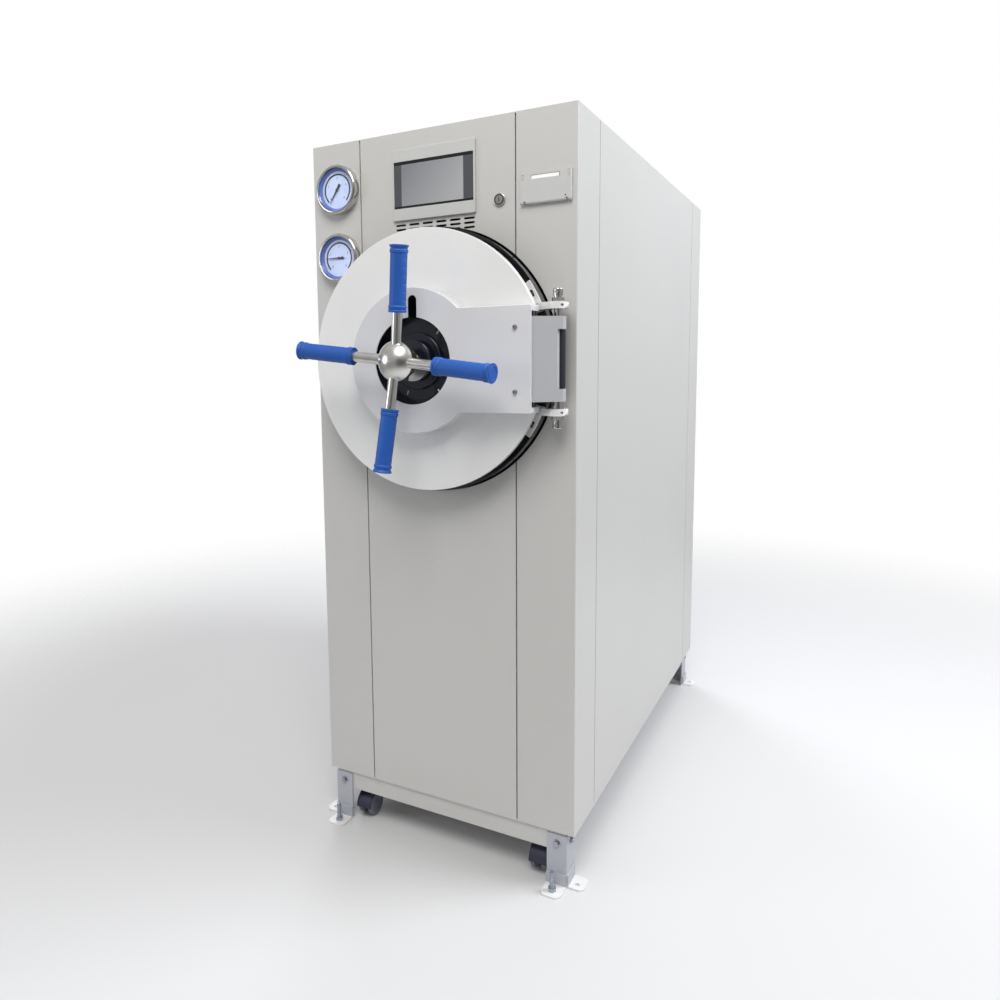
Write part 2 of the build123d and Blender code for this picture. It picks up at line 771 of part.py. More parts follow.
# Hinge brackets: lugs with a curved foot bolted on the ring's face, and the fixed pin.
pin_top = lug_inner + lug_thickness + pin_end
strip_outer = flange_radius - 1
strip_inner = strip_outer - strip_width
strip_middle = (strip_inner + strip_outer) / 2
lug_root_right = flange_radius - lug_root_inset
with BuildPart() as hinge_brackets:
    for side, _ in sides:
        start, middle, end = (radians(side * (strip_start + part * strip_sweep)) for part in (0, 0.62, 1))
        with BuildSketch(front_plane(flange_out)):
            with Locations((0, axis_z)):
                Circle(strip_outer)
                Circle(strip_inner, mode=Mode.SUBTRACT)
            with BuildLine():
                Polyline((0, axis_z),
                         (2 * strip_outer * cos(start), axis_z + 2 * strip_outer * sin(start)),
                         (2 * strip_outer * cos(end), axis_z + 2 * strip_outer * sin(end)), close=True)
            make_face(mode=Mode.INTERSECT)
            with Locations((strip_middle * cos(middle), axis_z + strip_middle * sin(middle))):
                SlotOverall(strip_slot_length, strip_slot_width, rotation=degrees(middle) + 90,
                            mode=Mode.SUBTRACT)
        extrude(amount=strip_thickness)
        lug_low = axis_z + side * lug_inner - (lug_thickness if side < 0 else 0)
        with BuildSketch(Plane.XY.offset(lug_low)):
            rectangle_between(lug_root_right - lug_root_width, lug_root_right, front_y - flange_out,
                              front_y - flange_out - lug_root_thickness)
            with Locations(hinge_point):
                Circle(lug_radius)
            make_hull()
            rectangle_between(0, flange_radius + 1, front_y, front_y - flange_out, mode=Mode.SUBTRACT)
            with Locations(hinge_point):
                Circle(hinge_pin_radius + pin_clearance, mode=Mode.SUBTRACT)
        extrude(amount=lug_thickness)
        tip_round = lug_thickness / 2
        tip_x = hinge_x + lug_radius - tip_round
        tip_z = lug_low + tip_round
        with BuildSketch(front_plane(0)):
            rectangle_between(tip_x, tip_x + 2 * tip_round, lug_low, lug_low + lug_thickness)
            with Locations((tip_x, tip_z)):
                Circle(tip_round, mode=Mode.SUBTRACT)
                Circle(lug_tip_hole_radius)
        extrude(amount=2 * lug_radius + flange_out, mode=Mode.SUBTRACT)
save(hinge_brackets.part, "hinge_brackets")

with BuildPart() as hinge_pin:
    with BuildSketch(Plane.XY.offset(axis_z)):
        with Locations(hinge_point):
            Circle(hinge_pin_radius)
    extrude(amount=pin_top, both=True)
    with BuildSketch(Plane.XY.offset(axis_z - lug_inner)):
        with Locations(hinge_point):
            Circle(collar_radius)
    extrude(amount=lug_inner - barrel_half_height - bar_gap)
    for side, _ in sides:
        nut_foot = axis_z + side * (lug_inner + lug_thickness)
        with BuildSketch(Plane.XY.offset(nut_foot)):
            with Locations(hinge_point):
                RegularPolygon(collar_radius, 6)
        extrude(amount=side * nut_height)
        with BuildSketch(Plane.XY.offset(axis_z + side * (pin_top - pin_head_height))):
            with Locations(hinge_point):
                Circle(pin_head_radius)
        extrude(amount=side * pin_head_height)
    fillet(hinge_pin.faces().filter_by(Axis.Z).sort_by(Axis.Z)[0].edges(), 2)
    fillet(hinge_pin.faces().filter_by(Axis.Z).sort_by(Axis.Z)[-1].edges(), 2)
    with BuildSketch(front_plane(0)):
        with Locations(*[(hinge_x, axis_z + side * (pin_top - pin_head_height / 2)) for side, _ in sides]):
            Circle(pin_hole_radius)
    extrude(amount=2 * hinge_out, mode=Mode.SUBTRACT)
save(hinge_pin.part, "hinge_pin")

# Handwheel: a shaft with a collar, a domed hub, and four raked rods with ribbed grips.
wheel_center = (0, front_y - rod_root_out, axis_z)
wheel_rake = rod_rise / grip_end


def rod_direction(index):
    angle = radians(wheel_turn + 90 * index)
    return Vector(sin(angle), -wheel_rake, cos(angle)).normalized()


def rod_plane(index):
    # Local x runs along the rod from the wheel's centre.
    along = rod_direction(index)
    return Plane(origin=wheel_center, x_dir=along, z_dir=along.cross(Vector(0, 1, 0)))


def rod_side_plane(index):
    # The plane that holds the rod and lies across the wheel's axis.
    along = rod_direction(index)
    across = along.cross(Vector(0, 1, 0))
    return Plane(origin=wheel_center, x_dir=along, z_dir=across.cross(along))


grip_end_wall = 8
rod_start = 16
dome_sphere = (dome_radius ** 2 + dome_height ** 2) / (2 * dome_height)
dome_angle = asin(dome_radius / dome_sphere) / 2
dome_middle = profile_point(dome_sphere * sin(dome_angle),
                            wheel_hub_out + dome_height - dome_sphere * (1 - cos(dome_angle)))
with BuildPart() as wheel_spider:
    with BuildSketch(Plane.YZ):
        with BuildLine():
            Polyline(
                profile_point(0, shaft_back),
                profile_point(shaft_radius, shaft_back),
                profile_point(shaft_radius, hub_boss_out + collar_gap),
                profile_point(collar_wheel_radius, hub_boss_out + collar_gap),
                profile_point(collar_wheel_radius, hub_boss_out + collar_gap + collar_thickness),
                profile_point(shaft_radius, hub_boss_out + collar_gap + collar_thickness),
                profile_point(shaft_radius, wheel_hub_back),
                profile_point(wheel_hub_radius, wheel_hub_back),
                profile_point(wheel_hub_radius, wheel_hub_out),
                profile_point(dome_radius, wheel_hub_out),
            )
            ThreePointArc(profile_point(dome_radius, wheel_hub_out), dome_middle,
                          profile_point(0, wheel_hub_out + dome_height))
            Line(profile_point(0, wheel_hub_out + dome_height), profile_point(0, shaft_back))
        make_face()
    revolve(axis=door_axis)
    for index in range(4):
        with BuildSketch(Plane(origin=wheel_center, z_dir=rod_direction(index)).offset(rod_start)):
            Circle(rod_radius)
        extrude(amount=grip_end - grip_end_wall - rod_start)
save(wheel_spider.part, "wheel_spider")

grip_bore = rod_radius + 0.1
notch_side = grip_radius + grip_notch_radius - grip_notch_depth
notch_first = grip_start + grip_notch_start
notch_pitch = (grip_end - grip_notch_end - notch_first) / (grip_notch_count - 1)
notch_places = [(notch_first + step * notch_pitch, side * notch_side)
                for step in range(grip_notch_count) for side, _ in sides]
with BuildPart() as wheel_grips:
    for index in range(4):
        with BuildSketch(rod_plane(index)):
            with BuildLine():
                Polyline(
                    (grip_start, grip_bore),
                    (grip_start, grip_ring_radius),
                    (grip_start + 4, grip_ring_radius),
                    (grip_start + 6, grip_radius),
                    (grip_start + 8, grip_ring_radius),
                    (grip_start + 12, grip_ring_radius),
                    (grip_start + 14, grip_radius),
                    (grip_end - 16, grip_radius),
                    (grip_end - 14, grip_ring_radius),
                    (grip_end - 10, grip_ring_radius),
                    (grip_end - 8, grip_radius),
                    (grip_end - 6, grip_radius),
                    (grip_end - 2, grip_ring_radius + grip_flare),
                    (grip_end, grip_ring_radius + grip_flare),
                    (grip_end, grip_dimple_radius),
                    (grip_end - grip_dimple_depth, 0),
                    (grip_end - grip_end_wall, 0),
                    (grip_end - grip_end_wall, grip_bore),
                    close=True,
                )
            make_face()
        revolve(axis=Axis(wheel_center, rod_direction(index)))
        with BuildSketch(rod_side_plane(index)):
            with Locations(*notch_places):
                Circle(grip_notch_radius)
        extrude(amount=2 * grip_radius, both=True, mode=Mode.SUBTRACT)
save(wheel_grips.part, "wheel_grips")

# Two round gauges: a case with a rolled bezel, a dial with its needle, and a glass.
with BuildPart() as gauge_cases:
    for height in gauge_heights:
        with BuildSketch(front_plane(-gauge_back)):
            with Locations((gauge_x, height)):
                Circle(gauge_body_radius)
        extrude(amount=gauge_back)
        with BuildSketch(front_plane(0)):
            with Locations((gauge_x, height)):
                Circle(gauge_radius)
        extrude(amount=gauge_out)
        with BuildSketch(front_plane(dial_out)):
            with Locations((gauge_x, height)):
                Circle(gauge_window)
        extrude(amount=gauge_out, mode=Mode.SUBTRACT)
    rims = gauge_cases.edges().filter_by(GeomType.CIRCLE).filter_by(lambda e: abs(e.radius - gauge_radius) < 0.01)
    fillet(rims.filter_by(lambda e: e.center().Y < front_y - gauge_out + 1), 5)
save(gauge_cases.part, "gauge_cases")

dial_thickness = 1.5
needle_out = dial_out + dial_thickness + 2
with BuildPart() as gauge_dials:
    for height, angle in zip(gauge_heights, needle_angles):
        with BuildSketch(front_plane(dial_out)):
            with Locations((gauge_x, height)):
                Circle(gauge_window - 0.3)
        extrude(amount=dial_thickness)
        with BuildSketch(front_plane(dial_out + dial_thickness)):
            with Locations((gauge_x, height)):
                Circle(3)
        extrude(amount=3)
        with BuildSketch(front_plane(needle_out)):
            with Locations(Location((gauge_x, height, 0), (0, 0, 90 - angle))):
                Polygon((-14, 3), (-14, -3), (0, -1.6), (36, -0.4), (36, 0.4), (0, 1.6), align=None)
        extrude(amount=1)
save(gauge_dials.part, "gauge_dials")

with BuildPart() as gauge_glasses:
    with BuildSketch(front_plane(gauge_out - 5)):
        with Locations(*[(gauge_x, height) for height in gauge_heights]):
            Circle(gauge_window - 0.3)
    extrude(amount=2)
save(gauge_glasses.part, "gauge_glasses")

# Operator screen: a moulded frame with a recessed display.
with BuildPart() as screen_bezel:
    with BuildSketch(front_plane(0)):
        with Locations((0, screen_center_z)):
            RectangleRounded(screen_width, screen_height, 3)
    extrude(amount=screen_out)
    fillet(screen_bezel.faces().sort_by(Axis.Y)[0].edges(), 1.5)
    with BuildSketch(front_plane(0)):
        with Locations((0, screen_center_z)):
            Rectangle(screen_width - 18, screen_height - 18)
    extrude(amount=-screen_back)
    with BuildSketch(front_plane(screen_out - 2)):
        with Locations((0, screen_center_z)):
            Rectangle(display_width, display_height)
    extrude(amount=2, mode=Mode.SUBTRACT)
save(screen_bezel.part, "screen_bezel")

with BuildPart() as screen_glass:
    with BuildSketch(front_plane(screen_out - 2)):
        with Locations((0, screen_center_z)):
            Rectangle(display_width - 0.4, display_height - 0.4)
    extrude(amount=1.4)
save(screen_glass.part, "screen_glass")

# Key lock: a ring and barrel in the panel, with a plug that the key turns.
with BuildPart() as key_lock_case:
    with BuildSketch(front_plane(-key_back)):
        with Locations((key_x, key_z)):
            Circle(key_body_radius)
    extrude(amount=key_back)
    with BuildSketch(front_plane(0)):
        with Locations((key_x, key_z)):
            Circle(key_radius)
    extrude(amount=4)
    fillet(key_lock_case.faces().sort_by(Axis.Y)[0].edges(), 1)
    with BuildSketch(front_plane(2 - key_back)):
        with Locations((key_x, key_z)):
            Circle(key_plug_radius + pin_clearance)
    extrude(amount=key_back + 4, mode=Mode.SUBTRACT)
save(key_lock_case.part, "key_lock_case")

with BuildPart() as key_plug:
    with BuildSketch(front_plane(3 - key_back)):
        with Locations((key_x, key_z)):
            Circle(key_plug_radius)
    extrude(amount=key_back + 2)
    with BuildSketch(front_plane(-6)):
        with Locations((key_x, key_z)):
            Rectangle(1.8, 9)
    extrude(amount=20, mode=Mode.SUBTRACT)
save(key_plug.part, "key_plug")

# Strip printer: a box behind the panel with a front flange, and a cover on a hinge pin.
printer_low = printer_z - printer_height / 2
pin_z = printer_low + printer_roll_radius
ear_places = [side * (printer_width / 2 - 9) for side, _ in sides]
ear_width = 3
with BuildPart() as printer_housing:
    with BuildSketch(front_plane(-printer_depth)):
        with Locations((printer_x, printer_z)):
            Rectangle(printer_frame_width - 1, printer_frame_height - 1)
    extrude(amount=printer_depth)
    with BuildSketch(front_plane(0)):
        with Locations((printer_x, printer_z)):
            Rectangle(printer_width - 5, printer_height - 4)
    extrude(amount=0.8)
    with BuildSketch(front_plane(printer_wall - printer_depth)):
        with Locations((printer_x, printer_z)):
            Rectangle(printer_frame_width - 1 - 2 * printer_wall, printer_frame_height - 1 - 2 * printer_wall)
    extrude(amount=printer_depth, mode=Mode.SUBTRACT)
    for place in ear_places:
        with BuildSketch(Plane.YZ.offset(printer_x + place)):
            rectangle_between(front_y, front_y - printer_pin_out, pin_z - 2, pin_z + 3)
            with Locations((front_y - printer_pin_out, pin_z)):
                Circle(2.5)
        extrude(amount=ear_width / 2, both=True)
    with BuildSketch(Plane.YZ.offset(printer_x)):
        with Locations((front_y - printer_pin_out, pin_z)):
            Circle(printer_pin_radius)
    extrude(amount=printer_width / 2 - 2, both=True)
save(printer_housing.part, "printer_housing")

cover_back = 1
with BuildPart() as printer_cover:
    with BuildSketch(Plane.YZ.offset(printer_x)):
        rectangle_between(front_y - cover_back, front_y - printer_out, pin_z, printer_low + printer_height)
        with Locations((front_y - printer_pin_out, pin_z)):
            Circle(printer_roll_radius)
    extrude(amount=printer_width / 2, both=True)
    with BuildSketch(Plane.YZ.offset(printer_x)):
        rectangle_between(front_y, front_y - printer_out + printer_wall, pin_z,
                          printer_low + printer_height - printer_wall)
        with Locations((front_y - printer_pin_out, pin_z)):
            Circle(printer_roll_radius + 0.01, mode=Mode.SUBTRACT)
    extrude(amount=printer_width / 2 - printer_wall, both=True, mode=Mode.SUBTRACT)
    for place in ear_places:
        with BuildSketch(Plane.YZ.offset(printer_x + place)):
            with Locations((front_y - printer_pin_out, pin_z)):
                Circle(printer_roll_radius + 0.2)
        extrude(amount=ear_width / 2 + 1, both=True, mode=Mode.SUBTRACT)
    with BuildSketch(Plane.YZ.offset(printer_x)):
        with Locations((front_y - printer_pin_out, pin_z)):
            Circle(printer_pin_radius + pin_clearance)
    extrude(amount=printer_width, both=True, mode=Mode.SUBTRACT)
    with BuildSketch(front_plane(printer_out + 1)):
        with Locations((printer_x, printer_low + printer_height - paper_slot_drop)):
            Rectangle(paper_slot_width, paper_slot_height)
        with Locations((printer_x + printer_width / 2 - lamp_inset_x, printer_low + lamp_inset_z)):
            Circle(lamp_radius)
    extrude(amount=-printer_wall - 2, mode=Mode.SUBTRACT)
    with BuildSketch(front_plane(printer_out)):
        for side, _ in sides:
            with Locations((printer_x + side * (printer_width / 2 - latch_inset),
                            printer_low + printer_height - latch_drop - latch_height / 2)):
                Rectangle(latch_width, latch_height)
    extrude(amount=-latch_depth, mode=Mode.SUBTRACT)
save(printer_cover.part, "printer_cover")
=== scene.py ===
from math import atan2, cos, pi, radians, sin, sqrt

import bmesh
import bpy
from mathutils import Matrix, Vector


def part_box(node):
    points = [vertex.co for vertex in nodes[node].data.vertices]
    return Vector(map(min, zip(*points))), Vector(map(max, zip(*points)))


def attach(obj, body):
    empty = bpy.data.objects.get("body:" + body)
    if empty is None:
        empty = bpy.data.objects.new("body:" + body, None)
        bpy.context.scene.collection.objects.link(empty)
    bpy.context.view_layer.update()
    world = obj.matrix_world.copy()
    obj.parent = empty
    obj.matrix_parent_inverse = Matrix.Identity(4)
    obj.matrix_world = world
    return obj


# Looks of a horizontal steam sterilizer: studio, finishes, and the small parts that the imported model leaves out.
# Everything is in metres, Z up, the front looks along -Y.
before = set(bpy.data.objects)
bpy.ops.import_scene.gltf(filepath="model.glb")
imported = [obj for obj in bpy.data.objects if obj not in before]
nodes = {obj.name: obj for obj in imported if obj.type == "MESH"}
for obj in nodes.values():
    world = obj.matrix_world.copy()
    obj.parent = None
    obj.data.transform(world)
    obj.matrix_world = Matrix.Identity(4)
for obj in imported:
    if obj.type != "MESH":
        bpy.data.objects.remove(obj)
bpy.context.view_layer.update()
mm = 0.001
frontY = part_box("front_upper_panel")[0].y
axisZ = sum(corner.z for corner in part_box("vessel_flange")) / 2
print("frame loaded:", len(nodes), "nodes")


def linear(hexColour):
    # sRGB hex, as a colour picker shows it, to the linear values that a shader wants
    parts = [int(hexColour[place:place + 2], 16) / 255 for place in (1, 3, 5)]
    return [part / 12.92 if part <= 0.04045 else ((part + 0.055) / 1.055) ** 2.4 for part in parts] + [1]


def addNode(tree, kind, inputs=(), **settings):
    # adds one node; an input is a value, or a socket of another node to link from
    node = tree.nodes.new(kind)
    for setting, value in settings.items():
        setattr(node, setting, value)
    for socket, value in dict(inputs).items():
        if isinstance(value, bpy.types.NodeSocket):
            tree.links.new(value, node.inputs[socket])
        else:
            node.inputs[socket].default_value = value
    return node


def onFront(x, z, out=0):
    # millimetres across, up and out from the front panels, to the frame's metres
    return Vector((x * mm, frontY - out * mm, z * mm))


# Camera: the photograph's place and angle, worked out from the cabinet's corners.
camera = {
    "place": (0.8376, -2.1086, 1.1426),
    "yaw": -28.54,
    "pitch": -6.35,
    "roll": -0.68,
    "lens": 27.52,  # mm, on a 36 mm wide sensor
    "shift": (0.0504, -0.0502),
}
lens = bpy.data.cameras.new("camera")
lens.sensor_fit = "HORIZONTAL"
lens.sensor_width = 36
lens.lens = camera["lens"]
lens.shift_x, lens.shift_y = camera["shift"]
lens.clip_end = 200
viewer = bpy.data.objects.new("camera", lens)
turn = Matrix.Rotation(radians(-camera["yaw"]), 3, "Z") @ Matrix.Rotation(pi / 2 + radians(camera["pitch"]), 3, "X")
turn = turn @ Matrix.Rotation(radians(camera["roll"]), 3, "Z")
viewer.matrix_world = Matrix.Translation(camera["place"]) @ turn.to_4x4()
bpy.context.collection.objects.link(viewer)
bpy.context.scene.camera = viewer
bpy.context.scene.view_settings.view_transform = "Standard"

# Studio: a white sweep all round, one large soft light over the right shoulder, a weaker one from the left.
studio = {
    "skyTop": "#ffffff",
    "skyLow": "#bfc1c4",
    "skyStrength": 0.6,
    "backdrop": "#ffffff",
    "screen": ((0.5, -0.86, -0.08), 0.86, 0.97, 0.3),  # a dark screen before the door: direction, edges, brightness
    "floor": "#cdcdcd",
    "floorRadius": 6.0,
    "floorFade": (1.4, 3.4),  # metres from the middle where the floor starts and ends melting into the backdrop
    # name: place, aim, size, power in watts, colour
    "lights": {
        "key": ((0.7, -2.4, 3.4), (0.0, -0.6, 1.4), 1.8, 66, "#fffdfa"),
        "fill": ((-2.8, -2.6, 1.5), (0.0, -0.6, 1.2), 1.6, 18, "#f6f8ff"),
        "side": ((2.7, 0.6, 3.4), (0.3, 0.2, 1.4), 2.0, 135, "#f6f9ff"),
        "rear": ((-2.4, 2.9, 2.6), (-0.1, 0.4, 1.0), 2.2, 70, "#f8f9ff"),
    },
}
world = bpy.data.worlds.new("studio")
bpy.context.scene.world = world
world.use_nodes = True
sky = world.node_tree
sky.nodes.clear()
skyHeight = addNode(sky, "ShaderNodeSeparateXYZ", {0: addNode(sky, "ShaderNodeTexCoord").outputs["Generated"]})
skyBand = addNode(sky, "ShaderNodeMapRange", {"Value": skyHeight.outputs["Z"], "From Min": -0.1, "From Max": 0.9})
skyColour = addNode(sky, "ShaderNodeMix", {0: skyBand.outputs[0], 6: linear(studio["skyLow"]),
                                           7: linear(studio["skyTop"])}, data_type="RGBA")
screenSide, screenOuter, screenInner, screenLight = studio["screen"]
toScreen = addNode(sky, "ShaderNodeVectorMath", {0: addNode(sky, "ShaderNodeTexCoord").outputs["Generated"],
                                                 1: Vector(screenSide).normalized()}, operation="DOT_PRODUCT")
screenShade = addNode(sky, "ShaderNodeMapRange", {"Value": toScreen.outputs["Value"], "From Min": screenOuter,
                                                  "From Max": screenInner, "To Min": studio["skyStrength"],
                                                  "To Max": studio["skyStrength"] * screenLight})
skyLight = addNode(sky, "ShaderNodeBackground", {"Color": skyColour.outputs[2], "Strength": screenShade.outputs[0]})
skyShown = addNode(sky, "ShaderNodeBackground", {"Color": linear(studio["backdrop"]), "Strength": 1.0})
skyMix = addNode(sky, "ShaderNodeMixShader", {0: addNode(sky, "ShaderNodeLightPath").outputs["Is Camera Ray"],
                                              1: skyLight.outputs[0], 2: skyShown.outputs[0]})
addNode(sky, "ShaderNodeOutputWorld", {"Surface": skyMix.outputs[0]})
for name, (place, aim, size, power, colour) in studio["lights"].items():
    lamp = bpy.data.lights.new(name, "AREA")
    lamp.shape = "DISK"
    lamp.size = size
    lamp.energy = power
    lamp.color = linear(colour)[:3]
    holder = bpy.data.objects.new(name, lamp)
    holder.location = place
    holder.rotation_euler = (Vector(aim) - Vector(place)).to_track_quat("-Z", "Y").to_euler()
    bpy.context.collection.objects.link(holder)

floorMaterial = bpy.data.materials.new("studioFloor")  # matt painted board: even and pale, no gloss
floorMaterial.use_nodes = True
floorShader = floorMaterial.node_tree.nodes["Principled BSDF"]
floorShader.inputs["Base Color"].default_value = linear(studio["floor"])
floorShader.inputs["Roughness"].default_value = 0.9
floorTree = floorMaterial.node_tree
fromMiddle = addNode(floorTree, "ShaderNodeVectorMath",
                     {0: addNode(floorTree, "ShaderNodeTexCoord").outputs["Object"]}, operation="LENGTH")
melting = addNode(floorTree, "ShaderNodeMapRange", {"Value": fromMiddle.outputs["Value"],
                                                    "From Min": studio["floorFade"][0],
                                                    "From Max": studio["floorFade"][1]}, interpolation_type="SMOOTHSTEP")
melted = addNode(floorTree, "ShaderNodeMixShader", {0: melting.outputs[0], 1: floorShader.outputs[0],
                                                    2: addNode(floorTree, "ShaderNodeBsdfTransparent").outputs[0]})
floorTree.links.new(melted.outputs[0], floorTree.nodes["Material Output"].inputs["Surface"])
disc = bmesh.new()
bmesh.ops.create_circle(disc, cap_ends=True, segments=96, radius=studio["floorRadius"])
floorMesh = bpy.data.meshes.new("floor")
disc.to_mesh(floorMesh)
disc.free()
floorMesh.materials.append(floorMaterial)
floor = bpy.data.objects.new("floor", floorMesh)
bpy.context.collection.objects.link(floor)
print("studio set")


# Finishes
def perMetre(size):
    # a pattern that repeats every so many millimetres, as a texture scale
    return 1 / (size * mm)


def newFinish(name, **sockets):
    # a material, its node tree and its shader, with the shader's own sockets set
    material = bpy.data.materials.new(name)
    material.use_nodes = True
    tree = material.node_tree
    shader = tree.nodes["Principled BSDF"]
    for socket, value in sockets.items():
        shader.inputs[socket.replace("_", " ")].default_value = value
    return material, tree, shader


def objectPlace(tree):
    return addNode(tree, "ShaderNodeTexCoord").outputs["Object"]


def powderCoat(name, colour, patchColour, roughness=0.42):
    # polyester powder, sprayed and baked: an even satin skin with a faint orange peel, thicker and thinner in places
    material, tree, shader = newFinish(name, IOR=1.5)
    place = objectPlace(tree)
    patches = addNode(tree, "ShaderNodeTexNoise", {"Vector": place, "Scale": perMetre(420), "Detail": 2.0})
    tone = addNode(tree, "ShaderNodeMix", {0: patches.outputs[0], 6: linear(colour), 7: linear(patchColour)},
                   data_type="RGBA")
    tree.links.new(tone.outputs[2], shader.inputs["Base Color"])
    peel = addNode(tree, "ShaderNodeTexNoise", {"Vector": place, "Scale": perMetre(5), "Detail": 1.0})  # real peel is 2 mm
    sheen = addNode(tree, "ShaderNodeMapRange", {"Value": peel.outputs[0], "To Min": roughness - 0.04,
                                                 "To Max": roughness + 0.06})
    tree.links.new(sheen.outputs[0], shader.inputs["Roughness"])
    bump = addNode(tree, "ShaderNodeBump", {"Height": peel.outputs[0], "Strength": 0.12, "Distance": 0.25 * mm})
    tree.links.new(bump.outputs[0], shader.inputs["Normal"])
    return material


def stoveEnamel(name, colour, patchColour, roughness=0.16, coat=0.5):
    # stoving enamel, flowed on and baked: a hard gloss that ripples very slightly
    material, tree, shader = newFinish(name, IOR=1.5, Roughness=roughness, Coat_Weight=coat, Coat_Roughness=0.06)
    place = objectPlace(tree)
    patches = addNode(tree, "ShaderNodeTexNoise", {"Vector": place, "Scale": perMetre(160), "Detail": 2.0})
    tone = addNode(tree, "ShaderNodeMix", {0: patches.outputs[0], 6: linear(colour), 7: linear(patchColour)},
                   data_type="RGBA")
    tree.links.new(tone.outputs[2], shader.inputs["Base Color"])
    ripple = addNode(tree, "ShaderNodeTexNoise", {"Vector": place, "Scale": perMetre(28), "Detail": 1.0})
    bump = addNode(tree, "ShaderNodeBump", {"Height": ripple.outputs[0], "Strength": 0.1, "Distance": 0.3 * mm})
    tree.links.new(bump.outputs[0], shader.inputs["Normal"])
    return material


def turnedSteel(name, colour, ringMm):
    # stainless steel off the lathe: fine rings about the chamber's axis that smear the light into a fan
    material, tree, shader = newFinish(name, Metallic=1.0)
    place = addNode(tree, "ShaderNodeMapping", {"Vector": objectPlace(tree), "Location": (0, 0, -axisZ)})
    rings = addNode(tree, "ShaderNodeTexWave", {"Vector": place.outputs[0], "Scale": 0.314 * perMetre(ringMm),
                                                "Distortion": 1.2, "Detail": 2.0, "Detail Scale": 2.0},
                    wave_type="RINGS", rings_direction="Y")
    stain = addNode(tree, "ShaderNodeTexNoise", {"Vector": place.outputs[0], "Scale": perMetre(90), "Detail": 4.0})
    tone = addNode(tree, "ShaderNodeMix", {0: stain.outputs[0], 6: linear(colour), 7: linear("#a9a8a5")},
                   data_type="RGBA")
    tree.links.new(tone.outputs[2], shader.inputs["Base Color"])
    dull = addNode(tree, "ShaderNodeMapRange", {"Value": rings.outputs[1], "To Min": 0.26, "To Max": 0.4})
    tree.links.new(dull.outputs[0], shader.inputs["Roughness"])
    bump = addNode(tree, "ShaderNodeBump", {"Height": rings.outputs[1], "Strength": 0.15, "Distance": 0.1 * mm})
    tree.links.new(bump.outputs[0], shader.inputs["Normal"])
    return material


def polishedSteel(name, colour, roughness):
    # stainless steel, buffed: a clear mirror with faint hairlines left by the wheel
    material, tree, shader = newFinish(name, Metallic=1.0)
    place = objectPlace(tree)
    hairs = addNode(tree, "ShaderNodeMapping", {"Vector": place, "Scale": (1.0, 1.0, 0.06)})
    lines = addNode(tree, "ShaderNodeTexNoise", {"Vector": hairs.outputs[0], "Scale": perMetre(1.5), "Detail": 2.0})
    cloud = addNode(tree, "ShaderNodeTexNoise", {"Vector": place, "Scale": perMetre(22), "Detail": 3.0})
    tone = addNode(tree, "ShaderNodeMix", {0: cloud.outputs[0], 6: linear(colour), 7: linear("#bdbbb6")},
                   data_type="RGBA")
    tree.links.new(tone.outputs[2], shader.inputs["Base Color"])
    dull = addNode(tree, "ShaderNodeMapRange", {"Value": lines.outputs[0], "To Min": roughness,
                                                "To Max": roughness + 0.1})
    tree.links.new(dull.outputs[0], shader.inputs["Roughness"])
    return material


def zincPlate(name, colour):
    # bright zinc plating on mild steel: cool grey, cloudy, a little rough
    material, tree, shader = newFinish(name, Metallic=1.0)
    place = objectPlace(tree)
    cloud = addNode(tree, "ShaderNodeTexNoise", {"Vector": place, "Scale": perMetre(9), "Detail": 4.0})
    tone = addNode(tree, "ShaderNodeMix", {0: cloud.outputs[0], 6: linear(colour), 7: linear("#8f939b")},
                   data_type="RGBA")
    tree.links.new(tone.outputs[2], shader.inputs["Base Color"])
    dull = addNode(tree, "ShaderNodeMapRange", {"Value": cloud.outputs[0], "To Min": 0.22, "To Max": 0.42})
    tree.links.new(dull.outputs[0], shader.inputs["Roughness"])
    return material


def mouldedPlastic(name, colour, patchColour, roughness, grainMm=1.2, grain=0.15):
    # injection moulded plastic: colour right through, a fine spark-eroded grain that takes the shine off
    material, tree, shader = newFinish(name, IOR=1.53)
    place = objectPlace(tree)
    patches = addNode(tree, "ShaderNodeTexNoise", {"Vector": place, "Scale": perMetre(45), "Detail": 2.0})
    tone = addNode(tree, "ShaderNodeMix", {0: patches.outputs[0], 6: linear(colour), 7: linear(patchColour)},
                   data_type="RGBA")
    tree.links.new(tone.outputs[2], shader.inputs["Base Color"])
    sparks = addNode(tree, "ShaderNodeTexNoise", {"Vector": place, "Scale": perMetre(grainMm), "Detail": 2.0})
    sheen = addNode(tree, "ShaderNodeMapRange", {"Value": sparks.outputs[0], "To Min": roughness - 0.05,
                                                 "To Max": roughness + 0.1})
    tree.links.new(sheen.outputs[0], shader.inputs["Roughness"])
    bump = addNode(tree, "ShaderNodeBump", {"Height": sparks.outputs[0], "Strength": grain, "Distance": 0.15 * mm})
    tree.links.new(bump.outputs[0], shader.inputs["Normal"])
    return material


def plainInk(name, colour, roughness=0.5):
    # screen printing ink or a painted mark: flat, with a slight unevenness of the film
    material, tree, shader = newFinish(name)
    film = addNode(tree, "ShaderNodeTexNoise", {"Vector": objectPlace(tree), "Scale": perMetre(3), "Detail": 2.0})
    tone = addNode(tree, "ShaderNodeMix", {0: film.outputs[0], 6: linear(colour), 7: [c * 0.8 for c in linear(colour)]},
                   data_type="RGBA")
    tree.links.new(tone.outputs[2], shader.inputs["Base Color"])
    sheen = addNode(tree, "ShaderNodeMapRange", {"Value": film.outputs[0], "To Min": roughness - 0.05,
                                                 "To Max": roughness + 0.05})
    tree.links.new(sheen.outputs[0], shader.inputs["Roughness"])
    return material


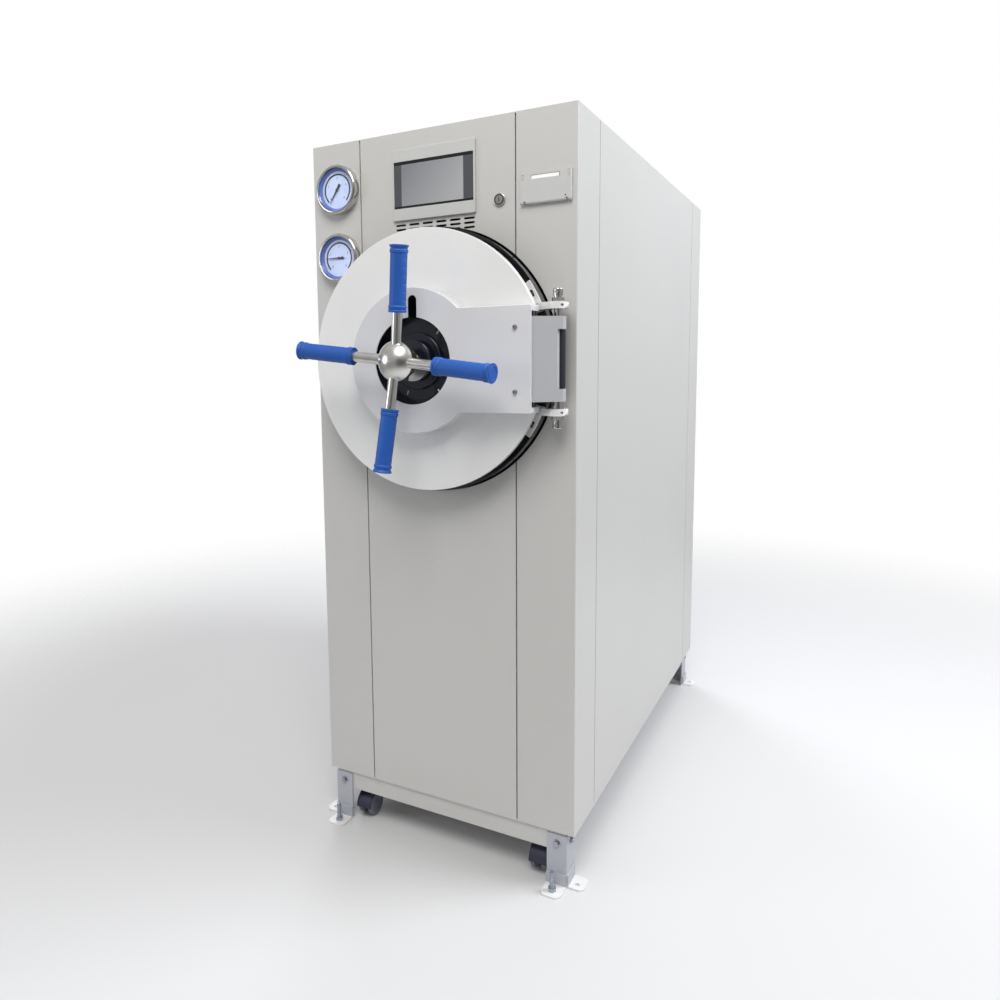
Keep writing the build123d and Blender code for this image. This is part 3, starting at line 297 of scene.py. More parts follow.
finishes = {
    "cabinetCoat": powderCoat("cabinetPowderCoat", "#c4c3c0", "#bebdba"),
    "frameCoat": powderCoat("framePowderCoat", "#aeb0b6", "#a6a8af", roughness=0.5),
    "doorEnamel": stoveEnamel("doorStoveEnamel", "#e6e6e4", "#dfdfde"),
    "armEnamel": stoveEnamel("armCoverEnamel", "#d7d7d8", "#d1d1d3"),
    "hingeEnamel": stoveEnamel("hingeCoverEnamel", "#b4b5b7", "#aeafb2"),
    # door arm: near-black, as painted shade for the dark gaps round the hinge and in the hub recess where the arm shows
    "armGapShade": powderCoat("doorArmGapShade", "#12151f", "#171b26", roughness=0.4),
    "ringEnamel": stoveEnamel("ringBlackEnamel", "#101216", "#16181d", roughness=0.12),
    "hubEnamel": stoveEnamel("hubDarkEnamel", "#0e121c", "#131827", roughness=0.22, coat=0.2),
    "turnedSteel": turnedSteel("turnedStainless", "#c9c8c4", 4),
    "polishedSteel": polishedSteel("polishedStainless", "#dddbd7", 0.08),
    "zinc": zincPlate("zincPlate", "#b8bbc0"),
    "wheelSteel": polishedSteel("wheelStainless", "#e8e6e1", 0.2),
    "gripBlue": mouldedPlastic("gripBluePlastic", "#0b55ad", "#084a9c", 0.5, 5, 0.5),
    "casterNavy": mouldedPlastic("casterNavyNylon", "#23253c", "#1c1e31", 0.45),
    "wheelGrey": mouldedPlastic("wheelGreyNylon", "#72727f", "#666674", 0.5),
    "consoleGrey": mouldedPlastic("consoleGreyPlastic", "#c3c3c1", "#bdbdbb", 0.4),
    "inkBlack": plainInk("printedBlack", "#17181b"),
    "markWhite": plainInk("paintedWhite", "#e8e8e4"),
}

# Vulcanised silicone: soft, milky, with a dry bloom
finishes["silicone"], tree, shader = newFinish("siliconeRubber", Base_Color=linear("#d8d2c6"), IOR=1.41,
                                               Subsurface_Weight=0.2, Subsurface_Scale=3 * mm)
bloom = addNode(tree, "ShaderNodeTexNoise", {"Vector": objectPlace(tree), "Scale": perMetre(6), "Detail": 3.0})
dry = addNode(tree, "ShaderNodeMapRange", {"Value": bloom.outputs[0], "To Min": 0.45, "To Max": 0.65})
tree.links.new(dry.outputs[0], shader.inputs["Roughness"])

# Gauge card: pale blue-white lacquered aluminium; the needle, which stands proud of it, is black
dialFace = {"card": "#c6cfe4", "edge": "#b3bfdb", "needle": "#15161a", "needleOut": 9.2}
finishes["dialCard"], tree, shader = newFinish("lacqueredDial", IOR=1.5, Roughness=0.35)
place = objectPlace(tree)
card = addNode(tree, "ShaderNodeTexNoise", {"Vector": place, "Scale": perMetre(40), "Detail": 1.0})
tone = addNode(tree, "ShaderNodeMix", {0: card.outputs[0], 6: linear(dialFace["card"]), 7: linear(dialFace["edge"])},
               data_type="RGBA")
depth = addNode(tree, "ShaderNodeSeparateXYZ", {0: place})
proud = addNode(tree, "ShaderNodeMath", {0: depth.outputs["Y"], 1: frontY - dialFace["needleOut"] * mm},
                operation="LESS_THAN")
parts = addNode(tree, "ShaderNodeMix", {0: proud.outputs[0], 6: tone.outputs[2], 7: linear(dialFace["needle"])},
                data_type="RGBA")
tree.links.new(parts.outputs[2], shader.inputs["Base Color"])

# Gauge glass: clear, flat, a little dusty so that it catches the light
finishes["glass"], tree, shader = newFinish("gaugeGlass", Base_Color=linear("#f6f9ff"), IOR=1.5,
                                            Transmission_Weight=1.0)
dust = addNode(tree, "ShaderNodeTexNoise", {"Vector": objectPlace(tree), "Scale": perMetre(14), "Detail": 4.0})
film = addNode(tree, "ShaderNodeMapRange", {"Value": dust.outputs[0], "From Min": 0.5, "To Max": 0.05})
tree.links.new(film.outputs[0], shader.inputs["Roughness"])

# Display: hardened glass over a dark panel. A black frame, dark side bands, and a grey field between them, with a
# painted sheen that lightens the field from the top left to the bottom right.
displayFace = {"field": (-79, 74), "fieldLow": 1491, "fieldHigh": 1579, "band": "#4a4c50", "frame": "#08090b",
               "fieldShadedCorner": "#7e8084", "fieldSheenCorner": "#a8a9ab"}
finishes["display"], tree, shader = newFinish("displayGlass", IOR=1.5, Roughness=0.12, Coat_Weight=0.4,
                                              Coat_Roughness=0.03)
spot = addNode(tree, "ShaderNodeSeparateXYZ", {0: objectPlace(tree)})
slope = addNode(tree, "ShaderNodeMath", {0: spot.outputs["X"], 1: spot.outputs["Z"]}, operation="SUBTRACT")
# painted sheen: the field is darkest at the top left and lightest at the bottom right
paintedSheenWash = addNode(tree, "ShaderNodeMapRange", {"Value": slope.outputs[0], "From Min": -1.64, "From Max": -1.45})
field = addNode(tree, "ShaderNodeMix", {0: paintedSheenWash.outputs[0], 6: linear(displayFace["fieldShadedCorner"]),
                                        7: linear(displayFace["fieldSheenCorner"])}, data_type="RGBA")
fieldMiddle = sum(displayFace["field"]) / 2 * mm
fieldHalf = (displayFace["field"][1] - displayFace["field"][0]) / 2 * mm
centred = addNode(tree, "ShaderNodeMath", {0: spot.outputs["X"], 1: fieldMiddle}, operation="SUBTRACT")
across = addNode(tree, "ShaderNodeMath", {0: centred.outputs[0]}, operation="ABSOLUTE")
inBand = addNode(tree, "ShaderNodeMath", {0: across.outputs[0], 1: fieldHalf}, operation="GREATER_THAN")
banded = addNode(tree, "ShaderNodeMix", {0: inBand.outputs[0], 6: field.outputs[2], 7: linear(displayFace["band"])},
                 data_type="RGBA")
level = addNode(tree, "ShaderNodeMath", {0: spot.outputs["Z"],
                                         1: (displayFace["fieldLow"] + displayFace["fieldHigh"]) / 2 * mm},
                operation="SUBTRACT")
height = addNode(tree, "ShaderNodeMath", {0: level.outputs[0]}, operation="ABSOLUTE")
inFrame = addNode(tree, "ShaderNodeMath", {0: height.outputs[0],
                                           1: (displayFace["fieldHigh"] - displayFace["fieldLow"]) / 2 * mm},
                  operation="GREATER_THAN")
framed = addNode(tree, "ShaderNodeMix", {0: inFrame.outputs[0], 6: banded.outputs[2],
                                         7: linear(displayFace["frame"])}, data_type="RGBA")
tree.links.new(framed.outputs[2], shader.inputs["Base Color"])

# Thermal paper: bright white, matt, a soft fibre mottling
finishes["paper"], tree, shader = newFinish("thermalPaper", Roughness=0.75)
fibre = addNode(tree, "ShaderNodeTexNoise", {"Vector": objectPlace(tree), "Scale": perMetre(1.5), "Detail": 3.0})
tone = addNode(tree, "ShaderNodeMix", {0: fibre.outputs[0], 6: linear("#fbfbf9"), 7: linear("#efefec")},
               data_type="RGBA")
tree.links.new(tone.outputs[2], shader.inputs["Base Color"])

# Legs: the frame's powder coat, on pale galvanised foot plates, with zinc plated studs and nuts before them
legFace = {"coat": "#adafb6", "plate": "#dcdcda", "stud": "#a9afbb", "plateTop": 4.3, "studFrom": 630}
finishes["legCoat"], tree, shader = newFinish("legPowderCoat", IOR=1.5)
place = objectPlace(tree)
spot = addNode(tree, "ShaderNodeSeparateXYZ", {0: place})
outwards = addNode(tree, "ShaderNodeMath", {0: spot.outputs["Y"]}, operation="ABSOLUTE")
isStud = addNode(tree, "ShaderNodeMath", {0: outwards.outputs[0], 1: legFace["studFrom"] * mm},
                 operation="GREATER_THAN")
isPlate = addNode(tree, "ShaderNodeMath", {0: spot.outputs["Z"], 1: legFace["plateTop"] * mm}, operation="LESS_THAN")
studded = addNode(tree, "ShaderNodeMix", {0: isStud.outputs[0], 6: linear(legFace["coat"]),
                                          7: linear(legFace["stud"])}, data_type="RGBA")
plated = addNode(tree, "ShaderNodeMix", {0: isPlate.outputs[0], 6: studded.outputs[2],
                                         7: linear(legFace["plate"])}, data_type="RGBA")
tree.links.new(plated.outputs[2], shader.inputs["Base Color"])
aboveStud = addNode(tree, "ShaderNodeMath", {0: isStud.outputs[0], 1: isPlate.outputs[0]}, operation="SUBTRACT")
metalPart = addNode(tree, "ShaderNodeClamp", {0: aboveStud.outputs[0]})
tree.links.new(metalPart.outputs[0], shader.inputs["Metallic"])
scuffs = addNode(tree, "ShaderNodeTexNoise", {"Vector": place, "Scale": perMetre(12), "Detail": 4.0})
worn = addNode(tree, "ShaderNodeMapRange", {"Value": scuffs.outputs[0], "To Min": 0.32, "To Max": 0.58})
tree.links.new(worn.outputs[0], shader.inputs["Roughness"])

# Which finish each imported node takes
nodeFinishes = {
    "cabinetCoat": ["front_left_panel", "front_lower_panel", "front_right_panel", "front_upper_panel", "rear_left_panel",
                    "rear_panel", "rear_right_panel", "side_panel_left", "side_panel_right", "top_panel", "base_frame"],
    "legCoat": ["leg_front_left", "leg_front_right", "leg_rear_left", "leg_rear_right"],
    "frameCoat": ["vessel_cradles"],
    "ringEnamel": ["vessel_flange"],
    "turnedSteel": ["vessel_shell", "door_lid"],
    "zinc": ["locking_bars"],
    "doorEnamel": ["door_cover", "hinge_brackets"],
    "hingeEnamel": ["hinge_cover"],
    "armEnamel": ["arm_cover"],
    "armGapShade": ["door_arm"],
    "hubEnamel": ["lock_hub"],
    "wheelSteel": ["wheel_spider"],
    "polishedSteel": ["hinge_pin", "gauge_cases", "key_lock_case", "key_plug"],
    "gripBlue": ["wheel_grips"],
    "dialCard": ["gauge_dials"],
    "glass": ["gauge_glasses"],
    "consoleGrey": ["screen_bezel", "printer_housing", "printer_cover"],
    "display": ["screen_glass"],
    "casterNavy": [name for name in nodes if name.startswith("caster_") and name.endswith("_fork")],
    "wheelGrey": [name for name in nodes if name.startswith("caster_") and name.endswith("_wheel")],
    "silicone": ["door_gasket"],
}
nodes["gauge_glasses"].visible_shadow = False  # the studio lights reach the dials through the glass
dressed = set()
for finish, names in nodeFinishes.items():
    for name in names:
        nodes[name].data.materials.clear()
        nodes[name].data.materials.append(finishes[finish])
        dressed.add(name)
print("finishes given to", len(dressed), "nodes, left over:", sorted(set(nodes) - dressed))


# Shapes that repeat are grown by Geometry Nodes: each tree makes one item at the origin, its axis along Z, and sets
# a copy on every seed point, turned to the point's own "facing" vector.
def newShapeTree(name, sockets):
    tree = bpy.data.node_groups.new(name, "GeometryNodeTree")
    tree.interface.new_socket("Geometry", in_out="INPUT", socket_type="NodeSocketGeometry")
    for socket, kind in sockets.items():
        tree.interface.new_socket(socket, in_out="INPUT", socket_type="NodeSocket" + kind)
    tree.interface.new_socket("Finish", in_out="INPUT", socket_type="NodeSocketMaterial")
    tree.interface.new_socket("Geometry", in_out="OUTPUT", socket_type="NodeSocketGeometry")
    return tree, tree.nodes.new("NodeGroupInput").outputs


def closeShapeTree(tree, given, item):
    facing = addNode(tree, "GeometryNodeInputNamedAttribute", {"Name": "facing"}, data_type="FLOAT_VECTOR")
    turned = addNode(tree, "FunctionNodeAlignRotationToVector", {"Vector": facing.outputs[0]}, axis="Z")
    placed = addNode(tree, "GeometryNodeInstanceOnPoints", {"Points": given["Geometry"], "Instance": item,
                                                            "Rotation": turned.outputs[0]})
    whole = addNode(tree, "GeometryNodeRealizeInstances", {0: placed.outputs[0]})
    dressed = addNode(tree, "GeometryNodeSetMaterial", {"Geometry": whole.outputs[0], "Material": given["Finish"]})
    addNode(tree, "NodeGroupOutput", {0: dressed.outputs[0]})


def showPiece(mesh, name, body):
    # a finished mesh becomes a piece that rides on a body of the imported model
    mesh.name = name
    piece = bpy.data.objects.new(name, mesh)
    bpy.context.collection.objects.link(piece)
    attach(piece, body)
    return piece


def growPiece(name, tree, seeds, body, slot, smooth=False, **values):
    # seeds are (place, facing) pairs; values are the tree's named inputs, _ standing for a space
    seedMesh = bpy.data.meshes.new(name)
    seedMesh.from_pydata([place for place, facing in seeds], [], [])
    facings = seedMesh.attributes.new("facing", "FLOAT_VECTOR", "POINT")
    for point, (place, facing) in enumerate(seeds):
        facings.data[point].vector = facing
    grower = bpy.data.objects.new(name + "Seeds", seedMesh)
    bpy.context.collection.objects.link(grower)
    modifier = grower.modifiers.new("grow", "NODES")
    modifier.node_group = tree
    for socket in tree.interface.items_tree:
        if socket.in_out == "INPUT" and socket.name.replace(" ", "_") in values:
            modifier[socket.identifier] = values[socket.name.replace(" ", "_")]
    depsgraph = bpy.context.evaluated_depsgraph_get()
    mesh = bpy.data.meshes.new_from_object(grower.evaluated_get(depsgraph), depsgraph=depsgraph)
    grower.modifiers.clear()
    bpy.data.objects.remove(grower)
    if smooth:
        mesh.set_sharp_from_angle(angle=radians(35))
        mesh.shade_smooth()
        mesh.set_sharp_from_angle(angle=radians(35))
    return showPiece(mesh, name, body)


def times(tree, value, factor):
    return addNode(tree, "ShaderNodeMath", {0: value, 1: factor}, operation="MULTIPLY").outputs[0]


def lifted(tree, item, height):
    rise = addNode(tree, "ShaderNodeCombineXYZ", {"Z": height})
    return addNode(tree, "GeometryNodeTransform", {"Geometry": item, "Translation": rise.outputs[0]}).outputs[0]


# Screw and bolt heads: a prism with a chamfered rim, over a washer, with a hexagon socket or none
fastener, given = newShapeTree("fastener", {"Head Radius": "Float", "Head Height": "Float", "Head Sides": "Int",
                                            "Washer Radius": "Float", "Washer Height": "Float",
                                            "Socket Radius": "Float", "Socket Depth": "Float"})
head = addNode(fastener, "GeometryNodeMeshCylinder", {"Vertices": given["Head Sides"], "Radius": given["Head Radius"],
                                                      "Depth": given["Head Height"]})
rim = addNode(fastener, "GeometryNodeExtrudeMesh", {"Mesh": head.outputs["Mesh"], "Selection": head.outputs["Top"],
                                                    "Offset Scale": times(fastener, given["Head Height"], 0.25),
                                                    "Individual": False})
crown = addNode(fastener, "GeometryNodeScaleElements", {"Geometry": rim.outputs["Mesh"],
                                                        "Selection": rim.outputs["Top"], "Scale": 0.82})
socket = addNode(fastener, "GeometryNodeMeshCylinder", {"Vertices": 6, "Radius": given["Socket Radius"],
                                                        "Depth": times(fastener, given["Socket Depth"], 2.0)})
socketFoot = times(fastener, given["Head Height"], 0.75)
bored = addNode(fastener, "GeometryNodeMeshBoolean", {"Mesh 1": crown.outputs[0],
                                                      "Mesh 2": lifted(fastener, socket.outputs[0], socketFoot)},
                operation="DIFFERENCE", solver="EXACT")
washer = addNode(fastener, "GeometryNodeMeshCylinder", {"Vertices": 28, "Radius": given["Washer Radius"],
                                                        "Depth": given["Washer Height"]})
headFoot = addNode(fastener, "ShaderNodeMath", {0: times(fastener, given["Head Height"], 0.5),
                                                1: given["Washer Height"]}, operation="ADD")
stack = addNode(fastener, "GeometryNodeJoinGeometry", {0: lifted(fastener, bored.outputs[0], headFoot.outputs[0])})
fastener.links.new(lifted(fastener, washer.outputs[0], times(fastener, given["Washer Height"], 0.5)), stack.inputs[0])
closeShapeTree(fastener, given, stack.outputs[0])

screws = {
    # name: seeds in mm (x, z, out) or (x, y, z), facing, body, head radius, height, sides, washer, socket
    "armCoverScrews": {"seeds": [(235, axisZ / mm + side * 63, 105) for side in (-1, 1)], "body": "door",
                       "head": (4.0, 3.2, 24), "washer": (4.8, 0.8), "socket": (2.4, 2.0)},
    "stripScrews": {"seeds": [(275.5 * cos(radians(turned)), axisZ / mm + 275.5 * sin(radians(turned)), 28)
                              for turned in (-28.7, 28.7)],
                    "body": "cabinet", "head": (3.2, 4.0, 24), "washer": (0.1, 0.1), "socket": (1.7, 2.0)},
    "legBoltsFront": {"seeds": [(side * 285, 98, -2) for side in (-1, 1)] + [(side * 272, 88, -2) for side in ()],
                      "body": "cabinet", "head": (6.5, 4.5, 6), "washer": (8.5, 1.4), "socket": (0.1, 0.1)},
}
for name, sizes in screws.items():
    growPiece(name, fastener, [(onFront(*seed), (0, -1, 0)) for seed in sizes["seeds"]], sizes["body"], "zinc_steel",
              Head_Radius=sizes["head"][0] * mm, Head_Height=sizes["head"][1] * mm, Head_Sides=sizes["head"][2],
              Washer_Radius=sizes["washer"][0] * mm, Washer_Height=sizes["washer"][1] * mm,
              Socket_Radius=sizes["socket"][0] * mm, Socket_Depth=sizes["socket"][1] * mm, Finish=finishes["zinc"])

legLow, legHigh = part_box("leg_front_right")
legBolts = {"height": 98, "faceX": 308, "faceY": 623, "inset": 285, "back": 595, "head": (6.5, 4.5, 6),
            "washer": (8.5, 1.4)}
boltSeeds = [(Vector((side * legBolts["faceX"] * mm, end * legBolts["back"] * mm, legBolts["height"] * mm)), (side, 0, 0))
             for side in (-1, 1) for end in (-1, 1)]
boltSeeds += [(Vector((side * legBolts["inset"] * mm, legBolts["faceY"] * mm, legBolts["height"] * mm)), (0, 1, 0))
              for side in (-1, 1)]
growPiece("legBoltsOther", fastener, boltSeeds, "cabinet", "zinc_steel", Head_Radius=6.5 * mm, Head_Height=4.5 * mm,
          Head_Sides=6, Washer_Radius=8.5 * mm, Washer_Height=1.4 * mm, Socket_Radius=0.1 * mm, Socket_Depth=0.1 * mm,
          Finish=finishes["zinc"])
rearScrews = {"across": 178, "foot": 165, "pitch": 242, "count": 7, "head": (4.2, 2.2, 24), "socket": (2.0, 1.4)}
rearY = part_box("rear_panel")[1].y
rearSeeds = [(Vector((side * rearScrews["across"] * mm, rearY, (rearScrews["foot"] + step * rearScrews["pitch"]) * mm)),
              (0, 1, 0)) for side in (-1, 1) for step in range(rearScrews["count"])]
growPiece("rearPanelScrews", fastener, rearSeeds, "cabinet", "zinc_steel", Head_Radius=rearScrews["head"][0] * mm,
          Head_Height=rearScrews["head"][1] * mm, Head_Sides=rearScrews["head"][2], Washer_Radius=0.1 * mm,
          Washer_Height=0.1 * mm, Socket_Radius=rearScrews["socket"][0] * mm,
          Socket_Depth=rearScrews["socket"][1] * mm, Finish=finishes["zinc"])
print("screws set")

# Stud threads: a helix of small triangles round each levelling stud, above its nut
thread, given = newShapeTree("studThread", {"Stud Radius": "Float", "Pitch": "Float", "Turns": "Float",
                                            "Depth": "Float"})
helix = addNode(thread, "GeometryNodeCurveSpiral", {"Resolution": 14, "Rotations": given["Turns"],
                                                    "Start Radius": given["Stud Radius"],
                                                    "End Radius": given["Stud Radius"]})
rise = addNode(thread, "ShaderNodeMath", {0: given["Turns"], 1: given["Pitch"]}, operation="MULTIPLY")
thread.links.new(rise.outputs[0], helix.inputs["Height"])
ridge = addNode(thread, "GeometryNodeCurvePrimitiveCircle", {"Resolution": 3, "Radius": given["Depth"]})
swept = addNode(thread, "GeometryNodeCurveToMesh", {"Curve": helix.outputs[0], "Profile Curve": ridge.outputs[0],
                                                    "Fill Caps": True})
closeShapeTree(thread, given, swept.outputs[0])
stud = {"x": 285, "y": 650, "foot": 12.6, "radius": 4.9, "pitch": 1.75, "turns": 19.5, "depth": 0.5}
studSeeds = [(Vector((side * stud["x"] * mm, end * stud["y"] * mm, stud["foot"] * mm)), (0, 0, 1))
             for side in (-1, 1) for end in (-1, 1)]
growPiece("studThreads", thread, studSeeds, "cabinet", "zinc_steel", Stud_Radius=stud["radius"] * mm,
          Pitch=stud["pitch"] * mm, Turns=stud["turns"], Depth=stud["depth"] * mm, Finish=finishes["zinc"])
print("threads cut")

# Dial print: a thick scale arc with ticks outside it, every fifth one longer; and plain numbers inside
dialPrint, given = newShapeTree("dialPrint", {"Arc Radius": "Float", "Arc Width": "Float", "Start": "Float",
                                              "Sweep": "Float", "Count": "Int", "Tick Length": "Float",
                                              "Tick Width": "Float", "Film": "Float"})
arc = addNode(dialPrint, "GeometryNodeCurveArc", {"Resolution": 72, "Radius": given["Arc Radius"],
                                                  "Start Angle": given["Start"], "Sweep Angle": given["Sweep"]},
              mode="RADIUS")
arcProfile = addNode(dialPrint, "GeometryNodeCurvePrimitiveQuadrilateral", {"Width": given["Arc Width"],
                                                                           "Height": given["Film"]})
arcBand = addNode(dialPrint, "GeometryNodeCurveToMesh", {"Curve": arc.outputs[0],
                                                         "Profile Curve": arcProfile.outputs[0], "Fill Caps": True})
tickPath = addNode(dialPrint, "GeometryNodeResampleCurve", {"Curve": arc.outputs[0], "Count": given["Count"]})
index = addNode(dialPrint, "GeometryNodeInputIndex")
lastIndex = addNode(dialPrint, "ShaderNodeMath", {0: given["Count"], 1: 1.0}, operation="SUBTRACT")
share = addNode(dialPrint, "ShaderNodeMath", {0: index.outputs[0], 1: lastIndex.outputs[0]}, operation="DIVIDE")
turnBy = addNode(dialPrint, "ShaderNodeMath", {0: share.outputs[0], 1: given["Sweep"], 2: given["Start"]},
                 operation="MULTIPLY_ADD")
tickTurn = addNode(dialPrint, "ShaderNodeCombineXYZ", {"Z": turnBy.outputs[0]})
fifth = addNode(dialPrint, "ShaderNodeMath", {0: index.outputs[0], 1: 5.0}, operation="MODULO")
isFifth = addNode(dialPrint, "ShaderNodeMath", {0: fifth.outputs[0], 1: 0.5}, operation="LESS_THAN")
reach = addNode(dialPrint, "ShaderNodeMath", {0: isFifth.outputs[0], 1: 0.9, 2: 1.0}, operation="MULTIPLY_ADD")
tickScale = addNode(dialPrint, "ShaderNodeCombineXYZ", {"X": reach.outputs[0], "Y": 1.0, "Z": 1.0})
tickSize = addNode(dialPrint, "ShaderNodeCombineXYZ", {"X": given["Tick Length"], "Y": given["Tick Width"],
                                                       "Z": given["Film"]})
tick = addNode(dialPrint, "GeometryNodeMeshCube", {"Size": tickSize.outputs[0]})
tickOut = addNode(dialPrint, "ShaderNodeCombineXYZ", {"X": times(dialPrint, given["Tick Length"], 0.5)})
tickSet = addNode(dialPrint, "GeometryNodeTransform", {"Geometry": tick.outputs[0],
                                                       "Translation": tickOut.outputs[0]})
ticks = addNode(dialPrint, "GeometryNodeInstanceOnPoints", {"Points": tickPath.outputs[0],
                                                            "Instance": tickSet.outputs[0],
                                                            "Rotation": tickTurn.outputs[0],
                                                            "Scale": tickScale.outputs[0]})
printed = addNode(dialPrint, "GeometryNodeJoinGeometry", {0: arcBand.outputs[0]})
dialPrint.links.new(ticks.outputs[0], printed.inputs[0])
closeShapeTree(dialPrint, given, printed.outputs[0])
dials = {
    "x": -250, "heights": (1545, 1391.64), "faceOut": 8.5, "film": 0.2,
    "arcRadius": 34.5, "arcWidth": 3.6, "start": 225, "sweep": -270, "count": 41, "tickLength": 2.2, "tickWidth": 0.5,
    "numbers": 5, "numberRadius": 26, "numberSize": 7.5,
    "rim": [(47.6, 14.8), (42.6, 8.7), (41.8, 8.7), (41.8, 9.3), (46.6, 14.8)],
}
dialSeeds = [(onFront(dials["x"], height, dials["faceOut"] + dials["film"] / 2), (0, -1, 0))
             for height in dials["heights"]]
growPiece("dialScales", dialPrint, dialSeeds, "cabinet", "dial_face", Arc_Radius=dials["arcRadius"] * mm,
          Arc_Width=dials["arcWidth"] * mm, Start=radians(dials["start"]), Sweep=radians(dials["sweep"]),
          Count=dials["count"], Tick_Length=dials["tickLength"] * mm, Tick_Width=dials["tickWidth"] * mm,
          Film=dials["film"] * mm, Finish=finishes["inkBlack"])


def turnedRing(sheet, profile, x, z, steps=72):
    # a closed profile of (radius, out) pairs in mm, turned about an axis that looks out of the front panels
    rings = []
    for step in range(steps):
        angle = 2 * pi * step / steps
        rings.append([sheet.verts.new(onFront(x + radius * cos(angle), z + radius * sin(angle), out))
                      for radius, out in profile])
    for step in range(steps):
        for part in range(len(profile)):
            sheet.faces.new((rings[step][part], rings[step][part - 1], rings[step - 1][part - 1],
                             rings[step - 1][part]))


def closeMesh(sheet, name, finish, smooth=True):
    # doubles merged, faces turned outwards, sharp edges kept sharp
    bmesh.ops.remove_doubles(sheet, verts=sheet.verts, dist=1e-6)
    bmesh.ops.recalc_face_normals(sheet, faces=sheet.faces)
    mesh = bpy.data.meshes.new(name)
    sheet.to_mesh(mesh)
    sheet.free()
    mesh.materials.append(finish)
    if smooth:
        mesh.shade_smooth()
        mesh.set_sharp_from_angle(angle=radians(35))
    return mesh


# Dial rims: a tapered dark blue ring inside each bezel, over the dial's edge, as painted shade for the shadow of the
# bezel's wall on the dial
sheet = bmesh.new()
for height in dials["heights"]:
    turnedRing(sheet, dials["rim"], dials["x"], height)
finishes["rimBlue"] = mouldedPlastic("dialRimPaintedShade", "#4f68ab", "#455c9e", 0.3, 2.0, 0.05)
showPiece(closeMesh(sheet, "dialRimShades", finishes["rimBlue"]), "dialRimShades", "cabinet")

numberSheet = bmesh.new()
for height in dials["heights"]:
    for number in range(dials["numbers"]):
        angle = radians(dials["start"] + dials["sweep"] * number / (dials["numbers"] - 1))
        letter = bpy.data.curves.new("number", "FONT")
        letter.body = str(number)
        letter.align_x, letter.align_y = "CENTER", "CENTER"
        letter.size = dials["numberSize"] * mm
        letter.extrude = dials["film"] / 2 * mm
        letter.resolution_u = 3
        written = bpy.data.objects.new("number", letter)
        bpy.context.collection.objects.link(written)
        bpy.context.view_layer.update()
        figure = bpy.data.meshes.new_from_object(written)
        figure.transform(Matrix.Translation(onFront(dials["x"] + dials["numberRadius"] * cos(angle),
                                                    height + dials["numberRadius"] * sin(angle),
                                                    dials["faceOut"] + dials["film"] / 2))
                         @ Matrix.Rotation(pi / 2, 4, "X"))
        numberSheet.from_mesh(figure)
        bpy.data.objects.remove(written)
showPiece(closeMesh(numberSheet, "dialNumbers", finishes["inkBlack"], smooth=False), "dialNumbers", "cabinet")
print("dials printed")


def addBlock(sheet, centre, size, bevel=0.0, turned=None):
    # a block with rounded edges, sizes in mm; turned is a matrix about its centre
    placed = Matrix.Translation(centre) @ (turned or Matrix.Identity(4)) @ Matrix.Diagonal([*(s * mm for s in size), 1])
    made = bmesh.ops.create_cube(sheet, size=1.0, matrix=placed)
    if bevel:
        edges = list({edge for vert in made["verts"] for edge in vert.link_edges})
        bmesh.ops.bevel(sheet, geom=edges, offset=bevel * mm, segments=2, profile=0.5, affect="EDGES")


# Hub well: a dark sheet between the arm and its cover, with the cover's keyhole for its outline, as painted shade
# lining the recess's wall and the edge of its floor
well = {"radius": 91.2, "notchX": 3, "notchHalf": 10.7, "notchTop": 125.5, "wall": 0.8, "foot": 74.2, "top": 102.9,
        "floorInner": 83, "floorThick": 0.8, "arcSteps": 72, "capSteps": 12}


def keyholeLine(grow):
    # the liner's outline in the hub's own plane, counterclockwise from the notch's right side
    radius, half = well["radius"] + grow, well["notchHalf"] + grow
    left, right = well["notchX"] - half, well["notchX"] + half
    start = atan2(sqrt(radius ** 2 - left ** 2), left)
    end = atan2(sqrt(radius ** 2 - right ** 2), right) + 2 * pi
    line = [(radius * cos(start + (end - start) * step / well["arcSteps"]),
             radius * sin(start + (end - start) * step / well["arcSteps"])) for step in range(well["arcSteps"] + 1)]
    return line + [(well["notchX"] + half * cos(pi * step / well["capSteps"]),
                    well["notchTop"] + half * sin(pi * step / well["capSteps"])) for step in range(well["capSteps"] + 1)]


def addShell(sheet, inner, outer, low, high):
    # a wall between two outlines of as many points, from one distance out to another
    loops = [[sheet.verts.new(onFront(x, axisZ / mm + z, out)) for x, z in line]
             for line, out in ((inner, low), (inner, high), (outer, high), (outer, low))]
    for one, two in zip(loops, loops[1:] + loops[:1]):
        for place in range(len(one)):
            sheet.faces.new((one[place - 1], one[place], two[place], two[place - 1]))


sheet = bmesh.new()
inner, outer = keyholeLine(0), keyholeLine(well["wall"])
addShell(sheet, inner, outer, well["foot"], well["top"])
rim = [(well["floorInner"] * x / sqrt(x * x + z * z), well["floorInner"] * z / sqrt(x * x + z * z)) for x, z in inner]
addShell(sheet, rim, inner, well["foot"], well["foot"] + well["floorThick"])
showPiece(closeMesh(sheet, "hubRecessShade", finishes["hubEnamel"]), "hubRecessShade", "door")

